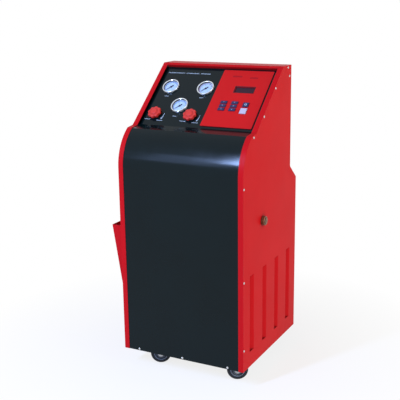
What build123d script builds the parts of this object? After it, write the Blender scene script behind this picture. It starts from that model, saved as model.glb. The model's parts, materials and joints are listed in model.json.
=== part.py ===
from build123d import *
import math
import os

# Air conditioning recharge station: a sheet-metal cabinet on casters, with gauges, valves and a keypad on
# its sloping head. All sizes are in millimetres. While it is modelled, X = 0 is the middle of the width,
# Y = 0 the front plane and Z = 0 the cabinet's bottom edge. The finished pieces are moved at the end, so
# that the origin is the middle of the whole outline, on the floor, with +X to the right seen from the
# front, +Y to the rear and +Z up.

# Cabinet outline, seen from the side
BODY_WIDTH = 472.5
BODY_HEIGHT = 1000.0
LOWER_DEPTH = 465.5
UPPER_DEPTH = 406.0
REAR_BREAK_HEIGHT = 586.0
REAR_SHOULDER_RISE = 50.5
TOP_DEPTH = 72.5
SLOPE_LENGTH = 303.4
SLOPE_ANGLE = 40.35
LEDGE_DEPTH = 33.9
LEDGE_RISE = 4.1
NOSE_RADIUS = 158.0

# Sheet metal
SHEET = 1.5
EDGE_FLANGE = 18.5
REAR_FLANGE = 16.0
SIDE_RETURN = 15.0
TOP_LIP = 10.0
TOP_REAR_DROP = 15.0
TOP_TAB = 45.0
PLATE_GAP = 0.2

# Floor pan and shelf
DECK_HEIGHT = 36.0
DECK_THICKNESS = 2.0
PAN_HEM = 2.0
SHELF_FLANGE = 25.0
SHELF_INSET = 25.0

# Right side louvres
LOUVRE_COUNT = 4
LOUVRE_FIRST_Y = 69.4
LOUVRE_PITCH = 107.6
LOUVRE_WIDTH = 34.0
LOUVRE_BOTTOM = 55.0
LOUVRE_TOP = 329.0
LOUVRE_DEPTH = 14.0

# Rear vents
VENT_COUNT = 8
VENT_WIDTH = 240.0
VENT_SLOT = 6.0
VENT_PITCH = 18.0
VENT_BOTTOM = 180.0

# Side pocket
POCKET_FRONT_Y = 45.0
POCKET_LENGTH = 330.0
POCKET_BOTTOM = 77.0
POCKET_TOP = 447.0
POCKET_MOUTH = 64.0
POCKET_TOE = 6.0
POCKET_FLANGE = 12.0

# Control panel on the slope
PANEL_RECESS = 12.0
PANEL_SHEET = 2.0

# Gauges: place across the panel and up the slope
GAUGE_PLACES = {"low": (-166.0, 195.0), "high": (-26.5, 195.0), "tank": (-96.2, 108.7)}
GAUGE_RADIUS = 31.5
GAUGE_CASE_RADIUS = 28.8
GAUGE_CASE_DEPTH = 24.0
GAUGE_WALL = 1.3
GAUGE_FLANGE = 1.5
GAUGE_RIM = 5.0
GAUGE_HEIGHT = 8.0
GAUGE_HOLE_CLEARANCE = 0.4
BEZEL_LIP = 1.5
LENS_THICKNESS = 1.5
LENS_CLEARANCE = 0.2
DIAL_THICKNESS = 0.8
PIVOT_RADIUS = 1.5
PIVOT_DEPTH = 9.0
MOVEMENT_RADIUS = 8.0
NEEDLE_LENGTH = 20.0
NEEDLE_TAIL = 7.0
NEEDLE_REST_ANGLE = 225.0
NEEDLE_LIFT = 1.0
SOCKET_RADIUS = 6.5
SOCKET_LENGTH = 16.0
SOCKET_DROP = 12.0

# Service valves under the gauges
KNOB_PLACES = {"low": (-176.5, 65.0), "high": (-36.5, 65.0)}
KNOB_RADIUS = 24.5
KNOB_HEIGHT = 12.0
KNOB_GAP = 3.0
KNOB_LOBES = 8
KNOB_SCALLOP = 6.0
KNOB_CAP = 3.0
STEM_RADIUS = 4.0
STEM_DEPTH = 24.0
STEM_HOLE_CLEARANCE = 0.8
RUNNING_CLEARANCE = 0.05
MANIFOLD_DEPTH = 32.0
MANIFOLD_ABOVE = 9.0
MANIFOLD_BELOW = 15.0
MANIFOLD_END = 25.0
PORT_RADIUS = 6.0
PORT_LENGTH = 14.0

# Keypad plate, keys and display
KEYPAD_LEFT = 15.7
KEYPAD_RIGHT = 206.5
KEYPAD_BOTTOM = 25.3
KEYPAD_TOP = 285.4
KEYPAD_THICKNESS = 3.0
KEYPAD_CORNER = 3.0
KEY_COLUMNS = (68.0, 109.0)
KEY_ROWS = (102.8, 118.5, 134.2)
KEY_SIZE = (24.0, 11.5)
START_KEY = (152.0, 127.5)
START_KEY_SIZE = (21.0, 20.0)
STOP_KEY = (152.0, 99.5)
STOP_KEY_SIZE = (24.0, 24.0)
KEY_HEIGHT = 3.0
KEY_TRAVEL = 1.5
KEY_CLEARANCE = 0.3
KEY_SHOULDER = 1.2
KEY_SHOULDER_THICKNESS = 1.6
KEY_FOOT = 6.0
KEYPAD_OPENING_MARGIN = 4.0
DISPLAY_CENTRE = (123.2, 195.9)
DISPLAY_SIZE = (70.3, 25.0)
WINDOW_MARGIN = 2.0
WINDOW_THICKNESS = 1.5
WINDOW_CLEARANCE = 0.5
BOARD_THICKNESS = 1.6
BOARD_DEPTH = 12.4
BOARD_MARGIN = 12.0
STANDOFF_RADIUS = 3.0
STANDOFF_INSET = 5.0
SWITCH_SIZE = 6.0

# Panel lock on the right side
LOCK_Y = 160.0
LOCK_HEIGHT = 496.0
LOCK_SHELF_DROP = 44.0
LOCK_HEAD_RADIUS = 16.0
LOCK_HEAD_HEIGHT = 12.0
LOCK_BODY_RADIUS = 11.0
LOCK_BODY_LENGTH = 22.0
LOCK_PLUG_RADIUS = 8.0
LOCK_CAP_RADIUS = 10.0
LOCK_NUT = 4.0
CAM_LENGTH = 38.0
CAM_WIDTH = 12.0
CAM_THICKNESS = 2.0
KEEPER_GAP = 0.5
KEEPER_WIDTH = 40.0
KEEPER_RISE = 18.0

# Casters
CASTER_INSET = 81.75
FRONT_CASTER_Y = 62.5
REAR_CASTER_SETBACK = 60.5
CASTER_HEIGHT = 102.0
WHEEL_RADIUS = 37.5
TYRE_WIDTH = 24.0
TYRE_BEVEL = 3.5
HUB_RADIUS = 26.0
HUB_RIM = 4.0
HUB_RECESS = 6.0
HUB_BOSS_RADIUS = 8.0
HUB_BOSS_WIDTH = 27.0
AXLE_RADIUS = 4.0
AXLE_HEAD_RADIUS = 7.0
AXLE_HEAD = 4.0
FORK_GAP = 0.5
FORK_SHEET = 3.0
FORK_EYE = 11.0
FORK_BEND = 2.5
TRAIL = 28.0
CASTER_HEADING = 27.7
CASTER_PLATE = (92.0, 66.0)
CASTER_PLATE_THICKNESS = 3.0
CASTER_PLATE_CORNER = 6.0
BOLT_INSET = 9.0
BOLT_FLATS = 10.0
BOLT_HEAD = 4.0
RACE_RADIUS = 24.0
RACE_DEPTH = 6.0
RACE_GAP = 0.3
KINGPIN_RADIUS = 5.95
KINGPIN_HEAD_RADIUS = 9.0
KINGPIN_HEAD = 2.2
CROWN_THICKNESS = 3.7

# Inner machinery on the floor pan and the shelf
TANK_WALL_GAP = 16.0
TANK_Y = 268.0
TANK_RADIUS = 100.0
TANK_HEIGHT = 330.0
TANK_DOME = 42.0
TANK_FOOT_HEIGHT = 12.0
TANK_FOOT_INSET = 25.0
TANK_FOOT_WALL = 3.0
TANK_SEAM = 1.5
TANK_SEAM_WIDTH = 6.0
TANK_NECK_RADIUS = 18.0
TANK_NECK = 8.0
TANK_VALVE_RADIUS = 10.0
TANK_VALVE_HEIGHT = 32.0
TANK_OUTLET_RADIUS = 6.0
TANK_OUTLET_SPAN = 52.0
SCALE_SIZE = (216.0, 230.0)
SCALE_PLATE = 5.0
LOAD_CELL_HEIGHT = 22.0
LOAD_CELL_SIZE = (130.0, 24.0)
COMPRESSOR_FROM_TANK = 176.0
COMPRESSOR_Y = 372.0
COMPRESSOR_RADIUS = 62.0
COMPRESSOR_HEIGHT = 165.0
COMPRESSOR_FOOT = 14.0
COMPRESSOR_FOOT_PLATE = 3.0
COMPRESSOR_BAND = (2.0, 8.0)
GROMMET_RADIUS = 9.0
GROMMET_INSET = 10.0
SUCTION_RADIUS = 6.0
SUCTION_LENGTH = 25.0
PUMP_FROM_CONDENSER = 100.0
PUMP_Y = 100.0
PUMP_MOTOR_RADIUS = 46.0
PUMP_MOTOR_LENGTH = 98.0
PUMP_BLOCK = (60.0, 96.0, 104.0)
PUMP_FINS = 16
PUMP_FIN_HEIGHT = 4.0
PUMP_FIN_THICKNESS = 2.0
PUMP_FIN_MARGIN = 10.0
DRIER_CENTRE = (-60.0, 200.0)
DRIER_RADIUS = 26.0
DRIER_LENGTH = 120.0
CONDENSER_GAP = 5.0
CONDENSER_THICKNESS = 26.0
CONDENSER_LENGTH = 320.0
CONDENSER_HEIGHT = 250.0
CONDENSER_FINS = 16
CONDENSER_TUBES = 5
TUBE_RADIUS = 5.0
FAN_RADIUS = 108.0
FAN_DEPTH = 22.0
FAN_BLADES = 5
FAN_HUB_RADIUS = 28.0
FAN_TIP_GAP = 4.0
FAN_SHAFT_RADIUS = 3.0
FAN_MOTOR_RADIUS = 32.0
FAN_MOTOR_LENGTH = 36.0
FAN_ARM = 12.0

# Rear connections
PORT_PLACES = {"low": (-150.0, 400.0), "high": (-90.0, 400.0)}
FLARE_RADIUS = 5.5
FLARE_LENGTH = 12.0
PORT_HEX = 8.0
PORT_HEX_LENGTH = 8.0
INLET_PLACE = (130.0, 130.0)
INLET_FLANGE = (32.0, 64.0)
INLET_FLANGE_THICKNESS = 2.5
INLET_BODY = (27.0, 50.0)
INLET_DEPTH = 22.0
INLET_CAVITY = (23.0, 16.0)
INLET_CAVITY_DEPTH = 15.0
INLET_CAVITY_DROP = 13.0
ROCKER_RISE = 13.5
ROCKER_RADIUS = 9.0
ROCKER_WIDTH = 17.0
ROCKER_TILT = 10.0
ROCKER_CLEARANCE = 0.4
ROCKER_DIP = 2.5

# Screws
SCREW_HEAD_RADIUS = 4.0
SCREW_HEAD = 1.6
SCREW_RADIUS = 2.0
SCREW_LENGTH = 8.0
SCREW_INSET = 6.0
FRONT_SCREW_X = (-176.0, 0.0, 176.0)
SIDE_SCREW_HEIGHTS = (77.0, 320.0)
NOSE_SCREW_DROP = 32.0
LEDGE_SCREW_SETBACK = 15.0
SLOPE_SCREW_LENGTHS = (79.0, 207.0)
TOP_SCREW_SETBACK = 41.0
REAR_SCREW_INSET = 17.0
REAR_SCREW_DROP = 38.0

# Worked-out places on the cabinet outline
FAR = 120.0
HALF = BODY_WIDTH / 2
INNER = HALF - SHEET
SLOPE_COS = math.cos(math.radians(SLOPE_ANGLE))
SLOPE_SIN = math.sin(math.radians(SLOPE_ANGLE))
TOP_FRONT_Y = UPPER_DEPTH - TOP_DEPTH
FOOT = (TOP_FRONT_Y - SLOPE_LENGTH * SLOPE_COS, BODY_HEIGHT - SLOPE_LENGTH * SLOPE_SIN)
LEDGE = (FOOT[0] - LEDGE_DEPTH, FOOT[1] - LEDGE_RISE)
NOSE_HEIGHT = LEDGE[1] - math.sqrt(NOSE_RADIUS ** 2 - (NOSE_RADIUS - LEDGE[0]) ** 2)
SHOULDER_HEIGHT = REAR_BREAK_HEIGHT + REAR_SHOULDER_RISE
DECK_TOP = DECK_HEIGHT + DECK_THICKNESS
SHELF_HEIGHT = LOCK_HEIGHT - LOCK_SHELF_DROP
CASTER_X = HALF - CASTER_INSET
REAR_CASTER_Y = LOWER_DEPTH - REAR_CASTER_SETBACK
CONDENSER_X = INNER - LOUVRE_DEPTH - CONDENSER_GAP - CONDENSER_THICKNESS
TANK_CENTRE = (TANK_WALL_GAP + TANK_RADIUS - HALF, TANK_Y)
COMPRESSOR_CENTRE = (TANK_CENTRE[0] + COMPRESSOR_FROM_TANK, COMPRESSOR_Y)
PUMP_CENTRE = (CONDENSER_X - PUMP_FROM_CONDENSER, PUMP_Y)

# Working planes: across the cabinet, along its depth, the slope, the lock and the rear face
SIDE = Plane(origin=(0, 0, 0), x_dir=(0, 1, 0), z_dir=(1, 0, 0))
SLOPE = Plane(origin=(0, FOOT[0], FOOT[1]), x_dir=(1, 0, 0), z_dir=(0, -SLOPE_SIN, SLOPE_COS))
PANEL_FACE = SLOPE.offset(-PANEL_RECESS)
LOCK = Plane(origin=(HALF, LOCK_Y, LOCK_HEIGHT), x_dir=(0, 1, 0), z_dir=(1, 0, 0))
REAR = Plane(origin=(0, LOWER_DEPTH, 0), x_dir=(-1, 0, 0), z_dir=(0, 1, 0))


def across(face, x_low, x_high):
    """Extrude a side-view face (Y, Z) from one X to another."""
    return extrude(SIDE.offset(x_low) * face, x_high - x_low)


def along_depth(face, y_low, y_high):
    """Extrude a front-view face (X, Z) from one Y to another."""
    plane = Plane(origin=(0, y_high, 0), x_dir=(1, 0, 0), z_dir=(0, -1, 0))
    return extrude(plane * face, y_high - y_low)


def polygon(*points):
    return make_face(Polyline(*points, close=True))


def box(x, y, z):
    """Box from its ranges along X, Y and Z."""
    low, high = Vector(x[0], y[0], z[0]), Vector(x[1], y[1], z[1])
    return Pos(*((low + high) / 2)) * Box(*(high - low))


def turned(*points):
    """Solid of revolution about Z from its (radius, height) outline."""
    return revolve(Plane.XZ * polygon(*points), Axis.Z, 360)


def rod(radius, z_low, z_high, x=0.0, y=0.0):
    return Pos(x, y, (z_low + z_high) / 2) * Cylinder(radius, z_high - z_low)


def mirrored(shape):
    return mirror(shape, Plane.YZ)


def group(shapes):
    """Separate solids in one piece."""
    return Compound([solid for shape in shapes for solid in shape.solids()])


# Side-view faces that all the sheets share
def nose_edges():
    """Front edge from below the floor pan up to the ledge's front corner."""
    end_angle = math.atan2(LEDGE[1] - NOSE_HEIGHT, LEDGE[0] - NOSE_RADIUS)
    middle = (math.pi + end_angle) / 2
    crown = (NOSE_RADIUS + NOSE_RADIUS * math.cos(middle), NOSE_HEIGHT + NOSE_RADIUS * math.sin(middle))
    return [Line((0, -FAR), (0, NOSE_HEIGHT)), ThreePointArc((0, NOSE_HEIGHT), crown, LEDGE)]


def front_region():
    """Everything behind the front, the nose, the ledge and the slope, open on the other sides."""
    reach = SLOPE_LENGTH + FAR
    high = (FOOT[0] + reach * SLOPE_COS, FOOT[1] + reach * SLOPE_SIN)
    far_y = max(high[0], LOWER_DEPTH) + FAR
    rest = [LEDGE, FOOT, high, (far_y, high[1]), (far_y, -FAR), (0, -FAR)]
    return make_face(nose_edges() + [Line(a, b) for a, b in zip(rest, rest[1:])])


def lower_region():
    """Everything behind the front and under the ledge's plane."""
    far_y = LOWER_DEPTH + FAR
    far_ledge = (far_y, LEDGE[1] + (far_y - LEDGE[0]) * LEDGE_RISE / LEDGE_DEPTH)
    rest = [LEDGE, far_ledge, (far_y, -FAR), (0, -FAR)]
    return make_face(nose_edges() + [Line(a, b) for a, b in zip(rest, rest[1:])])


def inset(region, depth):
    return offset(region, amount=-depth, kind=Kind.INTERSECTION) if depth else region


def layer(region, near, far):
    """Band of a region's front surface between two depths."""
    return inset(region, near) - inset(region, far)


def envelope(low=0.0):
    return polygon((-FAR, low), (LOWER_DEPTH, low), (LOWER_DEPTH, REAR_BREAK_HEIGHT),
                   (UPPER_DEPTH, SHOULDER_HEIGHT), (UPPER_DEPTH, BODY_HEIGHT), (-FAR, BODY_HEIGHT))


def slope_point(length, depth):
    """Side-view point at a length up the slope and a depth under it."""
    y = FOOT[0] + length * SLOPE_COS + depth * SLOPE_SIN
    return (y, FOOT[1] + length * SLOPE_SIN - depth * SLOPE_COS)


def behind_panel():
    """Side-view face of what lies behind the control panel's front."""
    reach = SLOPE_LENGTH + FAR
    return polygon(slope_point(-2 * SIDE_RETURN, PANEL_RECESS), slope_point(reach, PANEL_RECESS),
                   slope_point(reach, FAR), slope_point(-2 * SIDE_RETURN, FAR))


def bent_strip(points, near, far, side):
    """Section of a sheet that follows a path, between two distances to one side of it."""
    path = Polyline(*points)
    strip = make_face(offset(path, amount=far, side=side, kind=Kind.INTERSECTION))
    if near:
        strip -= make_face(offset(path, amount=near, side=side, kind=Kind.INTERSECTION))
    return strip


def rear_path(low, high):
    return [(LOWER_DEPTH, low), (LOWER_DEPTH, REAR_BREAK_HEIGHT), (UPPER_DEPTH, SHOULDER_HEIGHT),
            (UPPER_DEPTH, high)]


# Screw places: side view (Y, Z) of the side screws, the same on both sides
def side_screw_places():
    front = [(SCREW_INSET, z) for z in (*SIDE_SCREW_HEIGHTS, NOSE_HEIGHT - NOSE_SCREW_DROP)]
    front.append((LEDGE[0] + LEDGE_SCREW_SETBACK, LEDGE[1] - SCREW_INSET))
    slope = [slope_point(length, SCREW_INSET) for length in SLOPE_SCREW_LENGTHS]
    top = [(TOP_FRONT_Y + TOP_SCREW_SETBACK, BODY_HEIGHT - SHEET - SCREW_INSET),
           (UPPER_DEPTH - REAR_SCREW_INSET, BODY_HEIGHT - REAR_SCREW_DROP)]
    return front + slope + top


def screw():
    """Pan-head screw with its head's underside at Z = 0 and its shank below."""
    head = turned((0, 0), (SCREW_HEAD_RADIUS, 0), (SCREW_HEAD_RADIUS - 0.5, SCREW_HEAD), (0, SCREW_HEAD))
    return head + rod(SCREW_RADIUS, -SCREW_LENGTH, 0)


def screw_spots():
    """Planes whose Z axis is each panel screw's axis, pointing out of the cabinet."""
    spots = []
    for y, z in side_screw_places():
        spots.append(Plane(origin=(HALF, y, z), z_dir=(1, 0, 0)))
        spots.append(Plane(origin=(-HALF, y, z), z_dir=(-1, 0, 0)))
    for x in FRONT_SCREW_X:
        spots.append(Plane(origin=(x, SHEET, SCREW_INSET), z_dir=(0, -1, 0)))
    return spots


def screw_holes():
    return [spot * rod(SCREW_RADIUS, -SCREW_LENGTH, SHEET) for spot in screw_spots()]


def screws():
    return group([spot * screw() for spot in screw_spots()])


# Cabinet
def side_panel():
    """Right side panel without its own openings: skin, front flange and rear flange."""
    outline = front_region() & envelope()
    skin = across(outline, INNER, HALF)
    front = across(layer(front_region(), 0, SHEET) & envelope(), HALF - EDGE_FLANGE, INNER)
    rear = across(bent_strip(rear_path(0, BODY_HEIGHT - SHEET), SHEET, 2 * SHEET, Side.LEFT),
                  HALF - REAR_FLANGE, INNER)
    return skin + front + rear


def louvre(y_centre):
    """Pressed louvre: an inward slope with closed ends, open along its front edge."""
    y0, y1 = y_centre - LOUVRE_WIDTH / 2, y_centre + LOUVRE_WIDTH / 2
    slope = Plane.XY.offset(LOUVRE_BOTTOM) * polygon(
        (HALF, y1), (HALF - LOUVRE_DEPTH, y0), (INNER - LOUVRE_DEPTH, y0), (INNER, y1))
    blade = extrude(slope, LOUVRE_TOP - LOUVRE_BOTTOM)
    ends = []
    for z in (LOUVRE_BOTTOM - SHEET, LOUVRE_TOP):
        cheek = Plane.XY.offset(z) * polygon((INNER, y1), (INNER, y0), (INNER - LOUVRE_DEPTH, y0))
        ends.append(extrude(cheek, SHEET))
    return blade, ends


def right_side_panel():
    panel = side_panel()
    for i in range(LOUVRE_COUNT):
        y_centre = LOUVRE_FIRST_Y + i * LOUVRE_PITCH
        half = LOUVRE_WIDTH / 2
        panel -= box((INNER - 1, HALF + 1), (y_centre - half, y_centre + half), (LOUVRE_BOTTOM, LOUVRE_TOP))
        blade, ends = louvre(y_centre)
        panel = panel + blade + ends
    panel -= LOCK * rod(LOCK_BODY_RADIUS + STEM_HOLE_CLEARANCE, -2 * SHEET, SHEET)
    return panel


def front_panel():
    """Curved front sheet behind the edge flanges, with side returns above the floor pan."""
    ends = behind_panel() + polygon((FOOT[0] + FAR, -FAR), (2 * BODY_HEIGHT, -FAR),
                                    (2 * BODY_HEIGHT, 2 * BODY_HEIGHT), (FOOT[0] + FAR, 2 * BODY_HEIGHT))
    sheet = (layer(lower_region(), SHEET, 2 * SHEET) - ends) & envelope()
    returns = (layer(lower_region(), 2 * SHEET, SHEET + SIDE_RETURN) - ends) & envelope(DECK_TOP)
    side = across(returns, INNER - SHEET, INNER)
    return across(sheet, -INNER, INNER) + side + mirrored(side)


def top_cover():
    lip = SLOPE_LENGTH - TOP_LIP
    path = [slope_point(lip, PANEL_RECESS), slope_point(lip, 0), (TOP_FRONT_Y, BODY_HEIGHT),
            (UPPER_DEPTH, BODY_HEIGHT), (UPPER_DEPTH, BODY_HEIGHT - TOP_REAR_DROP)]
    middle = HALF - EDGE_FLANGE - PLATE_GAP
    section = bent_strip(path, 0, SHEET, Side.RIGHT)
    cover = across(section, -middle, middle)
    behind_flange = TOP_FRONT_Y + 4 * SHEET
    wide = section & polygon((behind_flange, 0), (2 * LOWER_DEPTH, 0), (2 * LOWER_DEPTH, 2 * BODY_HEIGHT),
                             (behind_flange, 2 * BODY_HEIGHT))
    tabs = box((INNER - SHEET, INNER), (TOP_FRONT_Y + SIDE_RETURN, UPPER_DEPTH - 2 * SHEET),
               (BODY_HEIGHT - SHEET - TOP_TAB, BODY_HEIGHT - SHEET))
    return cover + across(wide, -INNER, INNER) + tabs + mirrored(tabs)


def rear_panel():
    path = rear_path(0, BODY_HEIGHT - TOP_REAR_DROP)
    panel = across(bent_strip(path, 0, SHEET, Side.LEFT), -INNER, INNER)
    for i in range(VENT_COUNT):
        z = VENT_BOTTOM + i * VENT_PITCH
        slot = RectangleRounded(VENT_WIDTH, VENT_SLOT, VENT_SLOT / 2 - 0.01)
        panel -= REAR * Pos(0, z, -2 * SHEET) * extrude(slot, 3 * SHEET)
    for x, z in PORT_PLACES.values():
        panel -= REAR * rod(PORT_HEX + RUNNING_CLEARANCE, -2 * SHEET, SHEET, -x, z)
    hole = Rectangle(INLET_BODY[0] + 2 * PLATE_GAP, INLET_BODY[1] + 2 * PLATE_GAP)
    panel -= REAR * Pos(-INLET_PLACE[0], INLET_PLACE[1], -2 * SHEET) * extrude(hole, 3 * SHEET)
    return panel


def base_tray():
    """Floor pan with its flanges turned down, which carries the casters and the machinery."""
    front, rear = 2 * SHEET, LOWER_DEPTH - 2 * SHEET
    outside = box((-INNER, INNER), (front, rear), (PAN_HEM, DECK_TOP))
    inside = box((-INNER + DECK_THICKNESS, INNER - DECK_THICKNESS),
                 (front + DECK_THICKNESS, rear - DECK_THICKNESS), (0, DECK_HEIGHT))
    return outside - inside


def component_shelf():
    front, rear = SHELF_INSET, LOWER_DEPTH - SHELF_INSET
    floor = box((-INNER, INNER), (front, rear), (SHELF_HEIGHT - SHEET, SHELF_HEIGHT))
    wall = box((INNER - SHEET, INNER), (front, rear), (SHELF_HEIGHT, SHELF_HEIGHT + SHELF_FLANGE))
    keeper_x = HALF - LOCK_BODY_LENGTH - 2 * CAM_THICKNESS - KEEPER_GAP
    keeper = box((keeper_x - SHEET, keeper_x), (LOCK_Y - KEEPER_WIDTH / 2, LOCK_Y + KEEPER_WIDTH / 2),
                 (SHELF_HEIGHT, SHELF_HEIGHT + KEEPER_RISE))
    return floor + wall + mirrored(wall) + keeper


def side_pocket():
    """Open-topped wedge pocket on the left side, with mounting flanges at both ends."""
    skin = -HALF
    outer = polygon((skin, POCKET_BOTTOM), (skin, POCKET_TOP), (skin - POCKET_MOUTH, POCKET_TOP),
                    (skin - POCKET_TOE, POCKET_BOTTOM))
    hollow = polygon((skin + 1, POCKET_BOTTOM + SHEET), (skin + 1, POCKET_TOP + 1),
                     (skin - POCKET_MOUTH + SHEET, POCKET_TOP + 1),
                     (skin - POCKET_TOE + SHEET, POCKET_BOTTOM + SHEET))
    y0, y1 = POCKET_FRONT_Y, POCKET_FRONT_Y + POCKET_LENGTH
    pocket = along_depth(outer, y0, y1) - along_depth(hollow, y0 + SHEET, y1 - SHEET)
    for y in (y0 - POCKET_FLANGE, y1):
        pocket += box((skin - SHEET, skin), (y, y + POCKET_FLANGE), (POCKET_BOTTOM, POCKET_TOP))
    return pocket


# Control panel and what it carries. In these functions Z = 0 is the panel's front face
def keypad_centre():
    return ((KEYPAD_LEFT + KEYPAD_RIGHT) / 2, (KEYPAD_BOTTOM + KEYPAD_TOP) / 2)


def key_table():
    """Name, place and size of each key."""
    keys = {}
    for column, x in zip(("left", "middle"), KEY_COLUMNS):
        for row, y in zip(("lower", "centre", "upper"), KEY_ROWS):
            keys[f"key_{column}_{row}"] = ((x, y), KEY_SIZE)
    keys["key_start"] = (START_KEY, START_KEY_SIZE)
    keys["key_stop"] = (STOP_KEY, STOP_KEY_SIZE)
    return keys


def key_field():
    """Low and high corners of the area that the keys with their shoulders take up."""
    spread = KEY_SHOULDER + KEYPAD_OPENING_MARGIN
    xs = [p[0] + s * size[0] / 2 for p, size in key_table().values() for s in (-1, 1)]
    ys = [p[1] + s * size[1] / 2 for p, size in key_table().values() for s in (-1, 1)]
    return (min(xs) - spread, min(ys) - spread), (max(xs) + spread, max(ys) + spread)


def control_panel():
    """Flat panel with its sides turned up behind the side panels' flanges."""
    plate = box((-INNER, INNER), (0, SLOPE_LENGTH - 2 * SHEET), (-PANEL_SHEET, 0))
    returns = box((INNER - SHEET, INNER), (EDGE_FLANGE, SLOPE_LENGTH - 2 * TOP_LIP),
                  (0, PANEL_RECESS - SHEET - PLATE_GAP))
    panel = plate + returns + mirrored(returns)
    for x, y in GAUGE_PLACES.values():
        panel -= rod(GAUGE_CASE_RADIUS + GAUGE_HOLE_CLEARANCE, -2 * PANEL_SHEET, PANEL_SHEET, x, y)
    for x, y in KNOB_PLACES.values():
        panel -= rod(STEM_RADIUS + STEM_HOLE_CLEARANCE, -2 * PANEL_SHEET, PANEL_SHEET, x, y)
    low, high = key_field()
    panel -= box((low[0], high[0]), (low[1], high[1]), (-2 * PANEL_SHEET, PANEL_SHEET))
    window = Rectangle(*(size + 2 * (WINDOW_MARGIN + WINDOW_CLEARANCE) for size in DISPLAY_SIZE))
    panel -= Pos(*DISPLAY_CENTRE, -2 * PANEL_SHEET) * extrude(window, 3 * PANEL_SHEET)
    return PANEL_FACE * panel


def keypad_plate():
    blank = RectangleRounded(KEYPAD_RIGHT - KEYPAD_LEFT, KEYPAD_TOP - KEYPAD_BOTTOM, KEYPAD_CORNER)
    plate = Pos(*keypad_centre(), 0) * extrude(blank, KEYPAD_THICKNESS)
    for place, size in key_table().values():
        hole = Rectangle(*(length + 2 * KEY_CLEARANCE for length in size))
        plate -= Pos(*place, -1) * extrude(hole, KEYPAD_THICKNESS + 2)
    plate -= Pos(*DISPLAY_CENTRE, -1) * extrude(Rectangle(*DISPLAY_SIZE), KEYPAD_THICKNESS + 2)
    return PANEL_FACE * plate


def key(place, size):
    """Key cap with a shoulder behind the keypad plate that keeps it from coming out."""
    cap = extrude(Rectangle(*size), KEYPAD_THICKNESS + KEY_HEIGHT + KEY_FOOT)
    cap = chamfer(cap.edges().group_by(Axis.Z)[-1], 0.8)
    shoulder = extrude(Rectangle(*(length + 2 * KEY_SHOULDER for length in size)), KEY_SHOULDER_THICKNESS)
    body = Pos(0, 0, -KEY_FOOT) * cap + Pos(0, 0, -KEY_CLEARANCE - KEY_SHOULDER_THICKNESS) * shoulder
    return PANEL_FACE * Pos(*place, 0) * body


def display_window():
    pane = Rectangle(*(size + 2 * WINDOW_MARGIN for size in DISPLAY_SIZE))
    return PANEL_FACE * Pos(*DISPLAY_CENTRE, -WINDOW_THICKNESS) * extrude(pane, WINDOW_THICKNESS)


def control_board():
    """Circuit board on standoffs with a switch under each key and the display module."""
    low, high = key_field()
    x = (low[0] - BOARD_MARGIN, high[0] + BOARD_MARGIN)
    y = (low[1] - BOARD_MARGIN, DISPLAY_CENTRE[1] + DISPLAY_SIZE[1] / 2 + 2 * BOARD_MARGIN)
    board = box(x, y, (-BOARD_DEPTH - BOARD_THICKNESS, -BOARD_DEPTH))
    for px in (x[0] + STANDOFF_INSET, x[1] - STANDOFF_INSET):
        for py in (y[0] + STANDOFF_INSET, y[1] - STANDOFF_INSET):
            board += rod(STANDOFF_RADIUS, -BOARD_DEPTH, -PANEL_SHEET, px, py)
    switch_top = -KEY_FOOT - KEY_TRAVEL - KEY_CLEARANCE
    half = SWITCH_SIZE / 2
    for place, _ in key_table().values():
        board += Pos(*place, 0) * box((-half, half), (-half, half), (-BOARD_DEPTH, switch_top))
    module = Rectangle(*(size + 2 * WINDOW_MARGIN for size in DISPLAY_SIZE))
    module_height = BOARD_DEPTH - WINDOW_THICKNESS - KEY_CLEARANCE
    board += Pos(*DISPLAY_CENTRE, -BOARD_DEPTH) * extrude(module, module_height)
    return PANEL_FACE * board


def gauge_case():
    bore = PIVOT_RADIUS + RUNNING_CLEARANCE
    inner = GAUGE_CASE_RADIUS - GAUGE_WALL
    floor = -GAUGE_CASE_DEPTH + 2
    cup = turned((0, -GAUGE_CASE_DEPTH), (GAUGE_CASE_RADIUS, -GAUGE_CASE_DEPTH), (GAUGE_CASE_RADIUS, 0),
                 (GAUGE_RADIUS, 0), (GAUGE_RADIUS, GAUGE_FLANGE), (GAUGE_CASE_RADIUS, GAUGE_FLANGE),
                 (GAUGE_CASE_RADIUS, GAUGE_RIM), (inner, GAUGE_RIM), (inner, floor), (MOVEMENT_RADIUS, floor),
                 (MOVEMENT_RADIUS, -DIAL_THICKNESS), (bore, -DIAL_THICKNESS),
                 (bore, -PIVOT_DEPTH - 1), (0, -PIVOT_DEPTH - 1))
    socket = rod(SOCKET_RADIUS, -GAUGE_CASE_DEPTH - SOCKET_LENGTH, -GAUGE_CASE_DEPTH, 0, -SOCKET_DROP)
    return cup + socket


def gauge_bezel():
    lens_top = GAUGE_RIM + LENS_THICKNESS
    lip = GAUGE_CASE_RADIUS - 2 * BEZEL_LIP
    return turned((GAUGE_CASE_RADIUS, GAUGE_FLANGE), (GAUGE_RADIUS, GAUGE_FLANGE),
                  (GAUGE_RADIUS, GAUGE_HEIGHT - 1), (GAUGE_RADIUS - 1, GAUGE_HEIGHT), (lip + 1, GAUGE_HEIGHT),
                  (lip, lens_top), (GAUGE_CASE_RADIUS, lens_top))


def gauge_lens():
    return rod(GAUGE_CASE_RADIUS - LENS_CLEARANCE, GAUGE_RIM, GAUGE_RIM + LENS_THICKNESS)


def gauge_dial():
    bore = PIVOT_RADIUS + RUNNING_CLEARANCE
    radius = GAUGE_CASE_RADIUS - GAUGE_WALL - LENS_CLEARANCE
    return rod(radius, -DIAL_THICKNESS, 0) - rod(bore, -2 * DIAL_THICKNESS, 1)


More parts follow.
